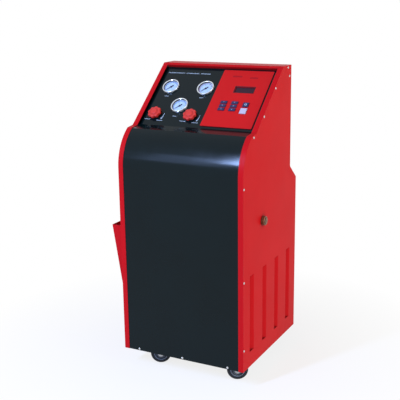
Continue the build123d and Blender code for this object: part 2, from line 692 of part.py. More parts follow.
def gauge_needle():
    """Needle on its pivot, pointing along +X before it is turned to its rest angle."""
    hub = rod(2 * PIVOT_RADIUS, NEEDLE_LIFT, NEEDLE_LIFT + 2)
    shaft = rod(PIVOT_RADIUS, -PIVOT_DEPTH, NEEDLE_LIFT)
    blade = polygon((-NEEDLE_TAIL, -1.4), (0, -1.0), (NEEDLE_LENGTH, -0.3), (NEEDLE_LENGTH, 0.3), (0, 1.0),
                    (-NEEDLE_TAIL, 1.4))
    return hub + shaft + Pos(0, 0, NEEDLE_LIFT + 0.6) * extrude(blade, 0.7)


def at_gauges(piece):
    return group([PANEL_FACE * Pos(x, y, 0) * piece for x, y in GAUGE_PLACES.values()])


def valve_knob():
    """Scalloped hand knob with a raised cap."""
    disc = rod(KNOB_RADIUS, 0, KNOB_HEIGHT)
    for i in range(KNOB_LOBES):
        angle = math.radians((i + 0.5) * 360 / KNOB_LOBES)
        reach = KNOB_RADIUS + KNOB_SCALLOP / 2
        disc -= rod(KNOB_SCALLOP, -1, KNOB_HEIGHT + 1, reach * math.cos(angle), reach * math.sin(angle))
    disc = chamfer(disc.edges().group_by(Axis.Z)[-1], 1.5)
    boss = turned((0, 0), (KNOB_RADIUS / 2, 0), (KNOB_RADIUS / 2 - 1.5, KNOB_CAP), (0, KNOB_CAP))
    knob = disc + Pos(0, 0, KNOB_HEIGHT) * boss
    return Pos(0, 0, KNOB_GAP) * (knob - rod(STEM_RADIUS, -1, KNOB_HEIGHT - KNOB_CAP))


def valve_stem():
    return rod(STEM_RADIUS, -PANEL_SHEET - STEM_DEPTH, KNOB_GAP + KNOB_HEIGHT - KNOB_CAP)


def manifold_block():
    low_x, y = KNOB_PLACES["low"]
    high_x = KNOB_PLACES["high"][0]
    back = -PANEL_SHEET - MANIFOLD_DEPTH
    block = box((low_x - MANIFOLD_END, high_x + MANIFOLD_END), (y - MANIFOLD_BELOW, y + MANIFOLD_ABOVE),
                (back, -PANEL_SHEET))
    for x in (low_x, high_x):
        block -= rod(STEM_RADIUS + RUNNING_CLEARANCE, -PANEL_SHEET - STEM_DEPTH - 1, 0, x, y)
    for x in (low_x, (low_x + high_x) / 2, high_x):
        port = Rot(90, 0, 0) * rod(PORT_RADIUS, 0, PORT_LENGTH)
        block += Pos(x, y - MANIFOLD_BELOW, (back - PANEL_SHEET) / 2) * port
    return PANEL_FACE * block


# Lock
def lock_barrel():
    bore = LOCK_PLUG_RADIUS + RUNNING_CLEARANCE
    head = LOCK_HEAD_HEIGHT
    barrel = turned((bore, -LOCK_BODY_LENGTH), (LOCK_BODY_RADIUS, -LOCK_BODY_LENGTH),
                    (LOCK_BODY_RADIUS, -SHEET - LOCK_NUT), (LOCK_BODY_RADIUS + 4, -SHEET - LOCK_NUT),
                    (LOCK_BODY_RADIUS + 4, -SHEET), (LOCK_BODY_RADIUS, -SHEET), (LOCK_BODY_RADIUS, 0),
                    (LOCK_HEAD_RADIUS, 0), (LOCK_HEAD_RADIUS, head - 3), (LOCK_HEAD_RADIUS - 3, head),
                    (bore, head))
    return LOCK * barrel


def lock_plug():
    """Plug with its key slot, and the cam that hangs down behind the keeper."""
    cam_near = -LOCK_BODY_LENGTH - 2 * CAM_THICKNESS - KEEPER_GAP - SHEET - KEEPER_GAP
    cam_far = cam_near - CAM_THICKNESS
    cap_low = LOCK_HEAD_HEIGHT + 2 * RUNNING_CLEARANCE
    plug = rod(LOCK_PLUG_RADIUS, cam_far, cap_low) + rod(LOCK_CAP_RADIUS, cap_low, cap_low + 1.5)
    plug -= box((-1, 1), (-4.5, 4.5), (cap_low - 2, cap_low + 2))
    half = CAM_WIDTH / 2
    plug += box((-half, half), (-CAM_LENGTH, 0), (cam_far, cam_near))
    return LOCK * plug


# Casters. In these functions Z = 0 is the floor pan's underside
def caster_plate():
    """Mounting plate with a bolt head near each corner."""
    bottom = -CASTER_PLATE_THICKNESS
    plate = Pos(0, 0, bottom) * extrude(RectangleRounded(*CASTER_PLATE, CASTER_PLATE_CORNER), -bottom)
    head = extrude(RegularPolygon(BOLT_FLATS / 2, 6, major_radius=False), BOLT_HEAD)
    corners = GridLocations(CASTER_PLATE[0] - 2 * BOLT_INSET, CASTER_PLATE[1] - 2 * BOLT_INSET, 2, 2)
    return plate + [Pos(0, 0, bottom - BOLT_HEAD) * corner * head for corner in corners]


RACE_BOTTOM = -CASTER_PLATE_THICKNESS - RACE_DEPTH
CROWN_TOP = RACE_BOTTOM - RACE_GAP
CROWN_BOTTOM = CROWN_TOP - CROWN_THICKNESS
AXLE_DROP = WHEEL_RADIUS - CASTER_HEIGHT
LEG_INSIDE = HUB_BOSS_WIDTH / 2 + FORK_GAP


def swivel_plate():
    """Top plate, ball race and the kingpin that hangs from it."""
    race = turned((0, RACE_BOTTOM), (RACE_RADIUS - 3, RACE_BOTTOM), (RACE_RADIUS, RACE_BOTTOM + 3),
                  (RACE_RADIUS, -CASTER_PLATE_THICKNESS), (0, -CASTER_PLATE_THICKNESS))
    head_top = CROWN_BOTTOM - RACE_GAP
    pin = rod(KINGPIN_RADIUS, head_top, RACE_BOTTOM) + rod(KINGPIN_HEAD_RADIUS, head_top - KINGPIN_HEAD,
                                                           head_top)
    return caster_plate() + race + pin


def fork_legs(axle_x, top):
    """Two legs with the axle bolt through them, and its heads outside."""
    leg = polygon((-RACE_RADIUS + 4, top), (RACE_RADIUS, top), (axle_x + FORK_EYE, AXLE_DROP),
                  (axle_x - FORK_EYE, AXLE_DROP))
    leg += Pos(axle_x, AXLE_DROP) * Circle(FORK_EYE)
    outside = LEG_INSIDE + FORK_SHEET
    legs = along_depth(leg, LEG_INSIDE, outside) + along_depth(leg, -outside, -LEG_INSIDE)
    axle = rod(AXLE_RADIUS, -outside, outside)
    axle += rod(AXLE_HEAD_RADIUS, outside, outside + AXLE_HEAD)
    axle += rod(AXLE_HEAD_RADIUS, -outside - AXLE_HEAD, -outside)
    return legs + Pos(axle_x, 0, AXLE_DROP) * Rot(90, 0, 0) * axle


def swivel_fork():
    """Pressed fork: crown with rounded folds down to its legs, and a bore for the kingpin."""
    outside = LEG_INSIDE + FORK_SHEET
    crown = box((-RACE_RADIUS + 4, RACE_RADIUS), (-outside, outside), (CROWN_BOTTOM, CROWN_TOP))
    fork = crown + fork_legs(TRAIL, CROWN_TOP)
    folds = fork.edges().filter_by(Axis.X).group_by(Axis.Z)[-1]
    return fillet(folds, FORK_BEND) - rod(KINGPIN_RADIUS + RUNNING_CLEARANCE, CROWN_BOTTOM - 1, CROWN_TOP + 1)


def fixed_bracket():
    return caster_plate() + fork_legs(0, -CASTER_PLATE_THICKNESS)


def wheel_hub():
    half, web = TYRE_WIDTH / 2, TYRE_WIDTH / 2 - HUB_RECESS
    boss, bore = HUB_BOSS_WIDTH / 2, AXLE_RADIUS + RUNNING_CLEARANCE
    rim = HUB_RADIUS - HUB_RIM
    hub = turned((bore, -boss), (HUB_BOSS_RADIUS, -boss), (HUB_BOSS_RADIUS, -web), (rim, -web), (rim, -half),
                 (HUB_RADIUS, -half), (HUB_RADIUS, half), (rim, half), (rim, web), (HUB_BOSS_RADIUS, web),
                 (HUB_BOSS_RADIUS, boss), (bore, boss))
    return Rot(90, 0, 0) * hub


def wheel_tyre():
    half, tread = TYRE_WIDTH / 2, TYRE_WIDTH / 2 - TYRE_BEVEL
    shoulder = WHEEL_RADIUS - TYRE_BEVEL
    tyre = turned((HUB_RADIUS, -half), (shoulder, -half), (WHEEL_RADIUS, -tread), (WHEEL_RADIUS, tread),
                  (shoulder, half), (HUB_RADIUS, half))
    return Rot(90, 0, 0) * tyre


def caster_pieces():
    """Front casters swivel and trail to one side. Rear casters roll straight."""
    pieces = {}
    for side, x in (("left", -CASTER_X), ("right", CASTER_X)):
        front = Pos(x, FRONT_CASTER_Y, DECK_HEIGHT)
        turned_front = front * Rot(0, 0, CASTER_HEADING)
        wheel = turned_front * Pos(TRAIL, 0, AXLE_DROP)
        pieces[f"front_{side}_caster_plate"] = front * swivel_plate()
        pieces[f"front_{side}_caster_fork"] = turned_front * swivel_fork()
        pieces[f"front_{side}_wheel_hub"] = wheel * wheel_hub()
        pieces[f"front_{side}_wheel_tyre"] = wheel * wheel_tyre()
        rear = Pos(x, REAR_CASTER_Y, DECK_HEIGHT) * Rot(0, 0, 90)
        pieces[f"rear_{side}_caster_bracket"] = rear * fixed_bracket()
        pieces[f"rear_{side}_wheel_hub"] = rear * Pos(0, 0, AXLE_DROP) * wheel_hub()
        pieces[f"rear_{side}_wheel_tyre"] = rear * Pos(0, 0, AXLE_DROP) * wheel_tyre()
    return pieces


# Machinery
SCALE_TOP = DECK_TOP + 2 * SCALE_PLATE + LOAD_CELL_HEIGHT


def scale_platform():
    """Weighing platform: base plate, load cell and top plate."""
    x, y = TANK_CENTRE
    ranges = ((x - SCALE_SIZE[0] / 2, x + SCALE_SIZE[0] / 2), (y - SCALE_SIZE[1] / 2, y + SCALE_SIZE[1] / 2))
    base = box(*ranges, (DECK_TOP, DECK_TOP + SCALE_PLATE))
    top = box(*ranges, (SCALE_TOP - SCALE_PLATE, SCALE_TOP))
    length, width = LOAD_CELL_SIZE
    cell = box((x - length / 2, x + length / 2), (y - width / 2, y + width / 2),
               (DECK_TOP + SCALE_PLATE, SCALE_TOP - SCALE_PLATE))
    return base + top + cell


def refrigerant_tank():
    """Tank with domed ends and a weld seam on a foot ring, and its valve on top."""
    radius, height, foot_height = TANK_RADIUS, TANK_HEIGHT, TANK_FOOT_HEIGHT
    shell = rod(radius, foot_height, height)
    shell = fillet(shell.edges().filter_by(GeomType.CIRCLE), TANK_DOME)
    seam = rod(radius + TANK_SEAM, (height - TANK_SEAM_WIDTH) / 2, (height + TANK_SEAM_WIDTH) / 2)
    foot_radius = radius - TANK_FOOT_INSET
    foot = rod(foot_radius, 0, 2 * foot_height) - rod(foot_radius - TANK_FOOT_WALL, -1, foot_height)
    valve_foot, valve_top = height + TANK_NECK, height + TANK_NECK + TANK_VALVE_HEIGHT
    valve = rod(TANK_NECK_RADIUS, height, valve_foot) + rod(TANK_VALVE_RADIUS, valve_foot, valve_top)
    outlets = Rot(0, 90, 0) * Cylinder(TANK_OUTLET_RADIUS, TANK_OUTLET_SPAN)
    valve += Pos(0, 0, (valve_foot + valve_top) / 2) * outlets
    return Pos(*TANK_CENTRE, SCALE_TOP) * (shell + seam + foot + valve)


def compressor():
    """Hermetic compressor: domed shell with a weld band, on a foot plate with grommets."""
    radius, height = COMPRESSOR_RADIUS, COMPRESSOR_HEIGHT
    shell = rod(radius, COMPRESSOR_FOOT, height)
    shell = fillet(shell.edges().filter_by(GeomType.CIRCLE), radius / 3)
    band = rod(radius + COMPRESSOR_BAND[0], height / 2, height / 2 + COMPRESSOR_BAND[1])
    foot = box((-radius, radius), (-radius, radius),
               (COMPRESSOR_FOOT, COMPRESSOR_FOOT + COMPRESSOR_FOOT_PLATE))
    spread = 2 * (radius - GROMMET_INSET)
    corners = GridLocations(spread, spread, 2, 2)
    grommets = [corner * rod(GROMMET_RADIUS, 0, COMPRESSOR_FOOT) for corner in corners]
    suction = rod(SUCTION_RADIUS, height, height + SUCTION_LENGTH, -radius / 3, 0)
    return Pos(*COMPRESSOR_CENTRE, DECK_TOP) * (shell + band + foot + grommets + suction)


def vacuum_pump():
    """Vacuum pump: finned motor with its terminal box, joined to the oil casing."""
    radius, length = PUMP_MOTOR_RADIUS, PUMP_MOTOR_LENGTH
    width, depth, height = PUMP_BLOCK
    axis_height = height / 2 + 2
    motor = rod(radius, -length, 0)
    for i in range(PUMP_FINS):
        fin = box((0, radius + PUMP_FIN_HEIGHT), (-PUMP_FIN_THICKNESS / 2, PUMP_FIN_THICKNESS / 2),
                  (PUMP_FIN_MARGIN - length, -PUMP_FIN_MARGIN))
        motor += Rot(0, 0, i * 360 / PUMP_FINS) * fin
    motor = Pos(0, 0, axis_height) * Rot(0, 90, 0) * motor
    casing = box((0, width), (-depth / 2, depth / 2), (0, height))
    cradle = box((-length + 15, -15), (-radius * 0.8, radius * 0.8), (0, axis_height - radius * 0.6))
    terminal = box((-length * 0.7, -length * 0.3), (-20, 20), (axis_height + radius - 6,
                                                                axis_height + radius + 14))
    filler = rod(8, height, height + 18, width / 2, 0)
    return Pos(*PUMP_CENTRE, DECK_TOP) * (motor + casing + cradle + terminal + filler)


def filter_drier():
    """Filter drier lying in a saddle on the shelf, with flare ends."""
    radius, half = DRIER_RADIUS, DRIER_LENGTH / 2
    shell = turned((0, -half - 18), (7, -half - 18), (7, -half), (radius, 12 - half), (radius, half - 12),
                   (7, half), (7, half + 18), (0, half + 18))
    body = Pos(0, 0, radius + 4) * Rot(0, 90, 0) * shell
    saddle = box((-15, 15), (-radius, radius), (0, radius * 0.7))
    return Pos(*DRIER_CENTRE, SHELF_HEIGHT) * (body + saddle)


def fan_centre():
    return (LOUVRE_FIRST_Y + LOUVRE_PITCH * (LOUVRE_COUNT - 1) / 2, DECK_TOP + CONDENSER_HEIGHT / 2)


def condenser():
    """Finned coil behind the louvres: end plates, fins and tubes."""
    y_mid = fan_centre()[0]
    x = (CONDENSER_X, CONDENSER_X + CONDENSER_THICKNESS)
    low, high = DECK_TOP, DECK_TOP + CONDENSER_HEIGHT
    coil = None
    for i in range(CONDENSER_FINS + 1):
        y = y_mid - CONDENSER_LENGTH / 2 + i * CONDENSER_LENGTH / CONDENSER_FINS
        trim = 0 if i in (0, CONDENSER_FINS) else 4
        fin = box((x[0] + trim, x[1] - trim), (y - SHEET / 2, y + SHEET / 2), (low + trim, high - trim))
        coil = fin if coil is None else coil + fin
    for i in range(CONDENSER_TUBES):
        z = low + (i + 0.5) * CONDENSER_HEIGHT / CONDENSER_TUBES
        tube = Rot(90, 0, 0) * Cylinder(TUBE_RADIUS, CONDENSER_LENGTH + 20)
        coil += Pos((x[0] + x[1]) / 2, y_mid, z) * tube
    return coil


def fan_shroud():
    """Shroud plate on the condenser with the fan motor on three arms."""
    y_mid, z_mid = fan_centre()
    x = CONDENSER_X
    half_y, half_z = CONDENSER_LENGTH / 2, CONDENSER_HEIGHT / 2
    plate = box((x - SHEET, x), (y_mid - half_y, y_mid + half_y), (z_mid - half_z, z_mid + half_z))
    hub = Pos(x, y_mid, z_mid) * Rot(0, -90, 0)
    opening = FAN_RADIUS + FAN_TIP_GAP
    ring_depth = FAN_DEPTH + 2 * FAN_TIP_GAP
    plate -= hub * rod(opening, -SHEET, 2 * SHEET)
    ring = rod(opening + SHEET, 0, ring_depth) - rod(opening, -1, ring_depth + 1)
    motor = rod(FAN_MOTOR_RADIUS, ring_depth, ring_depth + FAN_MOTOR_LENGTH)
    for angle in (0, 120, 240):
        arm = box((0, opening + SHEET), (-FAN_ARM / 2, FAN_ARM / 2), (ring_depth, ring_depth + 2))
        motor += Rot(0, 0, angle) * arm
    motor -= rod(FAN_SHAFT_RADIUS + RUNNING_CLEARANCE, ring_depth - 1, ring_depth + 21)
    return plate + hub * (ring + motor)


def condenser_fan():
    """Axial fan on its motor shaft."""
    y_mid, z_mid = fan_centre()
    ring_depth = FAN_DEPTH + 2 * FAN_TIP_GAP
    fan = rod(FAN_HUB_RADIUS, FAN_TIP_GAP, FAN_TIP_GAP + FAN_DEPTH)
    fan += rod(FAN_SHAFT_RADIUS, FAN_TIP_GAP, ring_depth + 20)
    middle = FAN_TIP_GAP + FAN_DEPTH / 2
    for i in range(FAN_BLADES):
        blade = Pos((FAN_RADIUS + FAN_HUB_RADIUS) / 2 - 4, 0, middle) * Rot(28, 0, 0) * Box(
            FAN_RADIUS - FAN_HUB_RADIUS, 38, 2)
        fan += Rot(0, 0, i * 360 / FAN_BLADES) * blade
    return Pos(CONDENSER_X, y_mid, z_mid) * Rot(0, -90, 0) * fan


# Rear connections
def service_port():
    """Bulkhead flare fitting: hexagon outside, collar through the sheet and nut inside."""
    collar = rod(PORT_HEX, -SHEET, 0)
    outer = extrude(RegularPolygon(PORT_HEX + 2, 6), PORT_HEX_LENGTH)
    nut = Pos(0, 0, -SHEET - 6) * extrude(RegularPolygon(PORT_HEX + 2, 6), 6)
    spigot = rod(FLARE_RADIUS, PORT_HEX_LENGTH, PORT_HEX_LENGTH + FLARE_LENGTH)
    return collar + outer + nut + spigot


def service_ports():
    return group([REAR * Pos(-x, z, 0) * service_port() for x, z in PORT_PLACES.values()])


INLET = REAR * Pos(-INLET_PLACE[0], INLET_PLACE[1], 0)


def power_inlet():
    """Mains inlet with its plug cavity below and the rocker's pocket above."""
    flange = extrude(Rectangle(*INLET_FLANGE), INLET_FLANGE_THICKNESS)
    body = Pos(0, 0, -INLET_DEPTH) * extrude(Rectangle(*INLET_BODY), INLET_DEPTH)
    inlet = flange + body
    face = INLET_FLANGE_THICKNESS
    cavity = extrude(Rectangle(*INLET_CAVITY), INLET_CAVITY_DEPTH + 1)
    inlet -= Pos(0, -INLET_CAVITY_DROP, face - INLET_CAVITY_DEPTH) * cavity
    pocket = Rot(0, 90, 0) * Cylinder(ROCKER_RADIUS + ROCKER_CLEARANCE, ROCKER_WIDTH + 2 * ROCKER_CLEARANCE)
    pivot = Rot(0, 90, 0) * Cylinder(PIVOT_RADIUS + RUNNING_CLEARANCE, ROCKER_WIDTH + 4 * PIVOT_RADIUS)
    return INLET * (inlet - Pos(0, ROCKER_RISE, 0) * (pocket + pivot))


def power_rocker():
    """Rocker with a dipped face, tilted to its off side, on two pivot stubs."""
    radius = ROCKER_RADIUS
    top = radius - 1.5
    section = Circle(radius) - polygon((-radius, top), (0, top - ROCKER_DIP), (radius, top),
                                       (radius, 2 * radius), (-radius, 2 * radius))
    prism = Plane(origin=(-ROCKER_WIDTH / 2, 0, 0), x_dir=(0, 1, 0), z_dir=(1, 0, 0)) * section
    rocker = extrude(prism, ROCKER_WIDTH)
    rocker += Rot(0, 90, 0) * Cylinder(PIVOT_RADIUS, ROCKER_WIDTH + 3.5 * PIVOT_RADIUS)
    return INLET * Pos(0, ROCKER_RISE, 0) * Rot(ROCKER_TILT, 0, 0) * rocker


def assemble():
    """All pieces by name, in the modelling frame."""
    needle = gauge_needle()
    pieces = {
        "base_tray": base_tray(),
        "left_side_panel": mirrored(side_panel()),
        "right_side_panel": right_side_panel(),
        "front_panel": front_panel(),
        "top_cover": top_cover(),
        "rear_panel": rear_panel(),
        "component_shelf": component_shelf(),
        "side_pocket": side_pocket(),
        "control_panel": control_panel(),
        "keypad_plate": keypad_plate(),
        "display_window": display_window(),
        "control_board": control_board(),
        "gauge_cases": at_gauges(gauge_case()),
        "gauge_bezels": at_gauges(gauge_bezel()),
        "gauge_lenses": at_gauges(gauge_lens()),
        "gauge_dials": at_gauges(gauge_dial()),
        "manifold_block": manifold_block(),
        "lock_barrel": lock_barrel(),
        "lock_plug": lock_plug(),
        "scale_platform": scale_platform(),
        "refrigerant_tank": refrigerant_tank(),
        "compressor": compressor(),
        "vacuum_pump": vacuum_pump(),
        "filter_drier": filter_drier(),
        "condenser": condenser(),
        "fan_shroud": fan_shroud(),
        "condenser_fan": condenser_fan(),
        "service_ports": service_ports(),
        "power_inlet": power_inlet(),
        "power_rocker": power_rocker(),
    }
    for name in ("base_tray", "left_side_panel", "right_side_panel", "front_panel", "top_cover",
                 "control_panel", "rear_panel"):
        pieces[name] = pieces[name] - screw_holes()
    pieces["screws"] = screws()
    for name, (place, size) in key_table().items():
        pieces[name] = key(place, size)
    for name, (x, y) in GAUGE_PLACES.items():
        pieces[f"{name}_gauge_needle"] = PANEL_FACE * Pos(x, y, 0) * Rot(0, 0, NEEDLE_REST_ANGLE) * needle
    for name, (x, y) in KNOB_PLACES.items():
        pieces[f"{name}_valve_knob"] = PANEL_FACE * Pos(x, y, 0) * valve_knob()
        pieces[f"{name}_valve_stem"] = PANEL_FACE * Pos(x, y, 0) * valve_stem()
    pieces.update(caster_pieces())
    return pieces


PIECES = assemble()
BOXES = [piece.bounding_box() for piece in PIECES.values()]
LOW = [min(b.min.X for b in BOXES), min(b.min.Y for b in BOXES), min(b.min.Z for b in BOXES)]
HIGH = [max(b.max.X for b in BOXES), max(b.max.Y for b in BOXES)]
TO_ORIGIN = Pos(-(LOW[0] + HIGH[0]) / 2, -(LOW[1] + HIGH[1]) / 2, -LOW[2])

os.makedirs("parts", exist_ok=True)
for piece_name, piece in PIECES.items():
    export_step(TO_ORIGIN * piece, f"parts/{piece_name}.step")
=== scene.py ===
import json
import math

import bmesh
import bpy
from mathutils import Matrix, Vector


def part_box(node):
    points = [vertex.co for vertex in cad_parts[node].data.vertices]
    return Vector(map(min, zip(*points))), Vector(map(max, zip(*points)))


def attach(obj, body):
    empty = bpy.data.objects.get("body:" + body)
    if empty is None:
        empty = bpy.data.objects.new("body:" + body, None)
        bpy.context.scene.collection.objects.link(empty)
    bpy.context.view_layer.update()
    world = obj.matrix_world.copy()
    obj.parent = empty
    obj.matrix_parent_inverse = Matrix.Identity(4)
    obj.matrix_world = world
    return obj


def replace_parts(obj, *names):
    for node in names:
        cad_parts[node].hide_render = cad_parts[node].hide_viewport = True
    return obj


# Air conditioning recharge station: looks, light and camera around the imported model. Metres throughout.
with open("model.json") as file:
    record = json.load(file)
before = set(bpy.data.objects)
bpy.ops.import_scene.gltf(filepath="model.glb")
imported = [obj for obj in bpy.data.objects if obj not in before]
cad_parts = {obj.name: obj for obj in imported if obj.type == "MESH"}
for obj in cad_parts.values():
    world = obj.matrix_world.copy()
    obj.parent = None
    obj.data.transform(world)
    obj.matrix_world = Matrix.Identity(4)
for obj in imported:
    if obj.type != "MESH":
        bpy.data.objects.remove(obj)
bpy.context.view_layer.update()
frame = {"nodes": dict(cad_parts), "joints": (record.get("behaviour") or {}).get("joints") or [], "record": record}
NODES = frame["nodes"]
JOINTS = {joint["name"]: joint for joint in frame["joints"]}
MM = 0.001
scene = bpy.context.scene

# Cabinet datum: middle of the width, front plane, bottom edge
left_low, left_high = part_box("left_side_panel")
right_low, right_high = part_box("right_side_panel")
DATUM = Vector(((left_low.x + right_high.x) / 2, right_low.y, right_low.z))


def cabinet(x, y, z):
    """Point given in millimetres from the cabinet datum."""
    return DATUM + Vector((x, y, z)) * MM


# Control panel: the valves' hinges give its face and its slope
PANEL_NORMAL = Vector(JOINTS["low_valve_turn"]["axis"])
PANEL_RIGHT = Vector((1, 0, 0))
PANEL_UP = PANEL_NORMAL.cross(PANEL_RIGHT)
LOW_VALVE = (-176.5, 65.0)
PANEL_ORIGIN = (Vector(JOINTS["low_valve_turn"]["pos_m"])
                - (PANEL_RIGHT * LOW_VALVE[0] + PANEL_UP * LOW_VALVE[1]) * MM)


def on_panel(joint):
    """Place of a joint across the panel and up it, in millimetres."""
    offset = (Vector(JOINTS[joint]["pos_m"]) - PANEL_ORIGIN) / MM
    return offset.dot(PANEL_RIGHT), offset.dot(PANEL_UP)


KNOBS = {name: on_panel(f"{name}_valve_turn") for name in ("low", "high")}
GAUGES = {name: on_panel(f"{name}_needle_turn") for name in ("low", "high", "tank")}


def panel_matrix(u, v, height=0.0, angle=0.0):
    """Placement on the panel: u across, v up the slope, height out of it, in millimetres."""
    spot = PANEL_ORIGIN + (PANEL_RIGHT * u + PANEL_UP * v + PANEL_NORMAL * height) * MM
    axes = Matrix((PANEL_RIGHT, PANEL_UP, PANEL_NORMAL)).transposed().to_4x4()
    return Matrix.Translation(spot) @ axes @ Matrix.Rotation(math.radians(angle), 4, "Z")


# Camera
CAMERA_PLACE = (1310.19, -2339.95, 1275.03)
CAMERA_AZIMUTH = 27.7335
CAMERA_ELEVATION = 14.5518
CAMERA_ROLL = -0.8138
CAMERA_LENS = 74.62

azimuth, elevation = math.radians(CAMERA_AZIMUTH), math.radians(CAMERA_ELEVATION)
forward = Vector((-math.sin(azimuth) * math.cos(elevation), math.cos(azimuth) * math.cos(elevation),
                  -math.sin(elevation)))
level_right = forward.cross(Vector((0, 0, 1))).normalized()
level_up = level_right.cross(forward)
roll = math.radians(CAMERA_ROLL)
right = math.cos(roll) * level_right + math.sin(roll) * level_up
up = math.cos(roll) * level_up - math.sin(roll) * level_right
camera_data = bpy.data.cameras.new("camera")
camera_data.lens = CAMERA_LENS
camera_data.sensor_width = 36.0
camera_data.clip_start = 0.05
camera_data.clip_end = 100.0
camera = bpy.data.objects.new("camera", camera_data)
axes = Matrix((right, up, -forward)).transposed().to_4x4()
camera.matrix_world = Matrix.Translation(cabinet(*CAMERA_PLACE)) @ axes
scene.collection.objects.link(camera)
scene.camera = camera


# Materials
def node(tree, kind, **values):
    """New node with its sockets and properties set by name."""
    made = tree.nodes.new(kind)
    for name, value in values.items():
        if name in made.inputs:
            made.inputs[name].default_value = value
        else:
            setattr(made, name, value)
    return made


def noise(tree, scale, detail=2.0, roughness=0.5, stretch=None):
    """Noise in object space, in cycles per metre, stretched along an axis if asked."""
    place = node(tree, "ShaderNodeTexCoord")
    source = place.outputs["Object"]
    if stretch:
        mapping = node(tree, "ShaderNodeMapping")
        mapping.inputs["Scale"].default_value = stretch
        tree.links.new(source, mapping.inputs["Vector"])
        source = mapping.outputs["Vector"]
    made = node(tree, "ShaderNodeTexNoise", Scale=scale, Detail=detail, Roughness=roughness)
    tree.links.new(source, made.inputs["Vector"])
    return made.outputs["Fac"]


def ranged(tree, factor, low, high, near=0.0, far=1.0):
    """Map a factor from one range to another."""
    made = node(tree, "ShaderNodeMapRange")
    made.inputs["From Min"].default_value = near
    made.inputs["From Max"].default_value = far
    made.inputs["To Min"].default_value = low
    made.inputs["To Max"].default_value = high
    tree.links.new(factor, made.inputs["Value"])
    return made.outputs["Result"]


def blended(tree, factor, first, second):
    """Mix two colours; each is a colour or a socket."""
    made = tree.nodes.new("ShaderNodeMix")
    made.data_type = "RGBA"
    tree.links.new(factor, made.inputs["Factor"])
    for value, name in ((first, 6), (second, 7)):
        if isinstance(value, tuple):
            made.inputs[name].default_value = (*value, 1.0)
        else:
            tree.links.new(value, made.inputs[name])
    return made.outputs[2]


def edge_mask(tree, radius, gain):
    """How much the surface turns within a radius: 0 on flat faces, 1 on sharp edges."""
    bevel = node(tree, "ShaderNodeBevel", Radius=radius)
    bevel.samples = 4
    geometry = node(tree, "ShaderNodeNewGeometry")
    product = tree.nodes.new("ShaderNodeVectorMath")
    product.operation = "DOT_PRODUCT"
    tree.links.new(bevel.outputs["Normal"], product.inputs[0])
    tree.links.new(geometry.outputs["Normal"], product.inputs[1])
    return ranged(tree, product.outputs["Value"], gain, 0.0, 0.80, 0.995)


def recess_shade_mask(tree, reach):
    """How much of the view around a point is covered within a reach: 0 in the open, 1 deep in a recess; it sets
    how much shade is painted into the colour there.
    """
    cover = node(tree, "ShaderNodeAmbientOcclusion", Distance=reach)
    cover.samples = 6
    return ranged(tree, cover.outputs["AO"], 1.0, 0.0, 0.55, 0.97)


def material(name, colour, roughness, metallic=0.0, specular=0.5, coat=0.0, coat_roughness=0.1,
             drift=0.05, drift_scale=6.0, spread=0.06, grain=400.0, grain_height=0.01, stretch=None,
             bevel=0.6, wear=0.0, wear_colour=None, recess_shade=0.0, recess_shade_reach=20.0, sheen=0.0):
    """Principled material with colour drift, uneven roughness, fine grain, softened edges and painted shade in
    recesses.

    The grain is in cycles per metre. Its height, the bevel and the reach of the painted recess shade are in
    millimetres.
    """
    made = bpy.data.materials.new(name)
    made.use_nodes = True
    tree = made.node_tree
    shader = tree.nodes["Principled BSDF"]
    shader.inputs["Metallic"].default_value = metallic
    shader.inputs["Specular IOR Level"].default_value = specular
    shader.inputs["Coat Weight"].default_value = coat
    shader.inputs["Coat Roughness"].default_value = coat_roughness
    shader.inputs["Sheen Weight"].default_value = sheen
    low = tuple(c * (1 - drift) for c in colour)
    high = tuple(min(1.0, c * (1 + drift)) for c in colour)
    painted = blended(tree, ranged(tree, noise(tree, drift_scale, 3.0), 0.0, 1.0, 0.3, 0.7), low, high)
    if wear:
        painted = blended(tree, edge_mask(tree, 1.2 * MM, wear), painted, wear_colour)
    # Painted shade: recesses are darkened towards a quarter of the colour, standing in for the shade that falls in
    # them.
    if recess_shade:
        recess_shade_amount = ranged(tree, recess_shade_mask(tree, recess_shade_reach * MM), 0.0, recess_shade)
        painted = blended(tree, recess_shade_amount, painted, tuple(c * 0.25 for c in colour))
    tree.links.new(painted, shader.inputs["Base Color"])
    patches = noise(tree, 14.0, 4.0)
    tree.links.new(ranged(tree, patches, roughness - spread / 2, roughness + spread / 2, 0.3, 0.7),
                   shader.inputs["Roughness"])
    bump = node(tree, "ShaderNodeBump", Strength=1.0, Distance=grain_height * MM)
    tree.links.new(noise(tree, grain, 2.0, 0.5, stretch), bump.inputs["Height"])
    if bevel:
        soft = node(tree, "ShaderNodeBevel", Radius=bevel * MM)
        soft.samples = 4
        tree.links.new(soft.outputs["Normal"], bump.inputs["Normal"])
    tree.links.new(bump.outputs["Normal"], shader.inputs["Normal"])
    return made


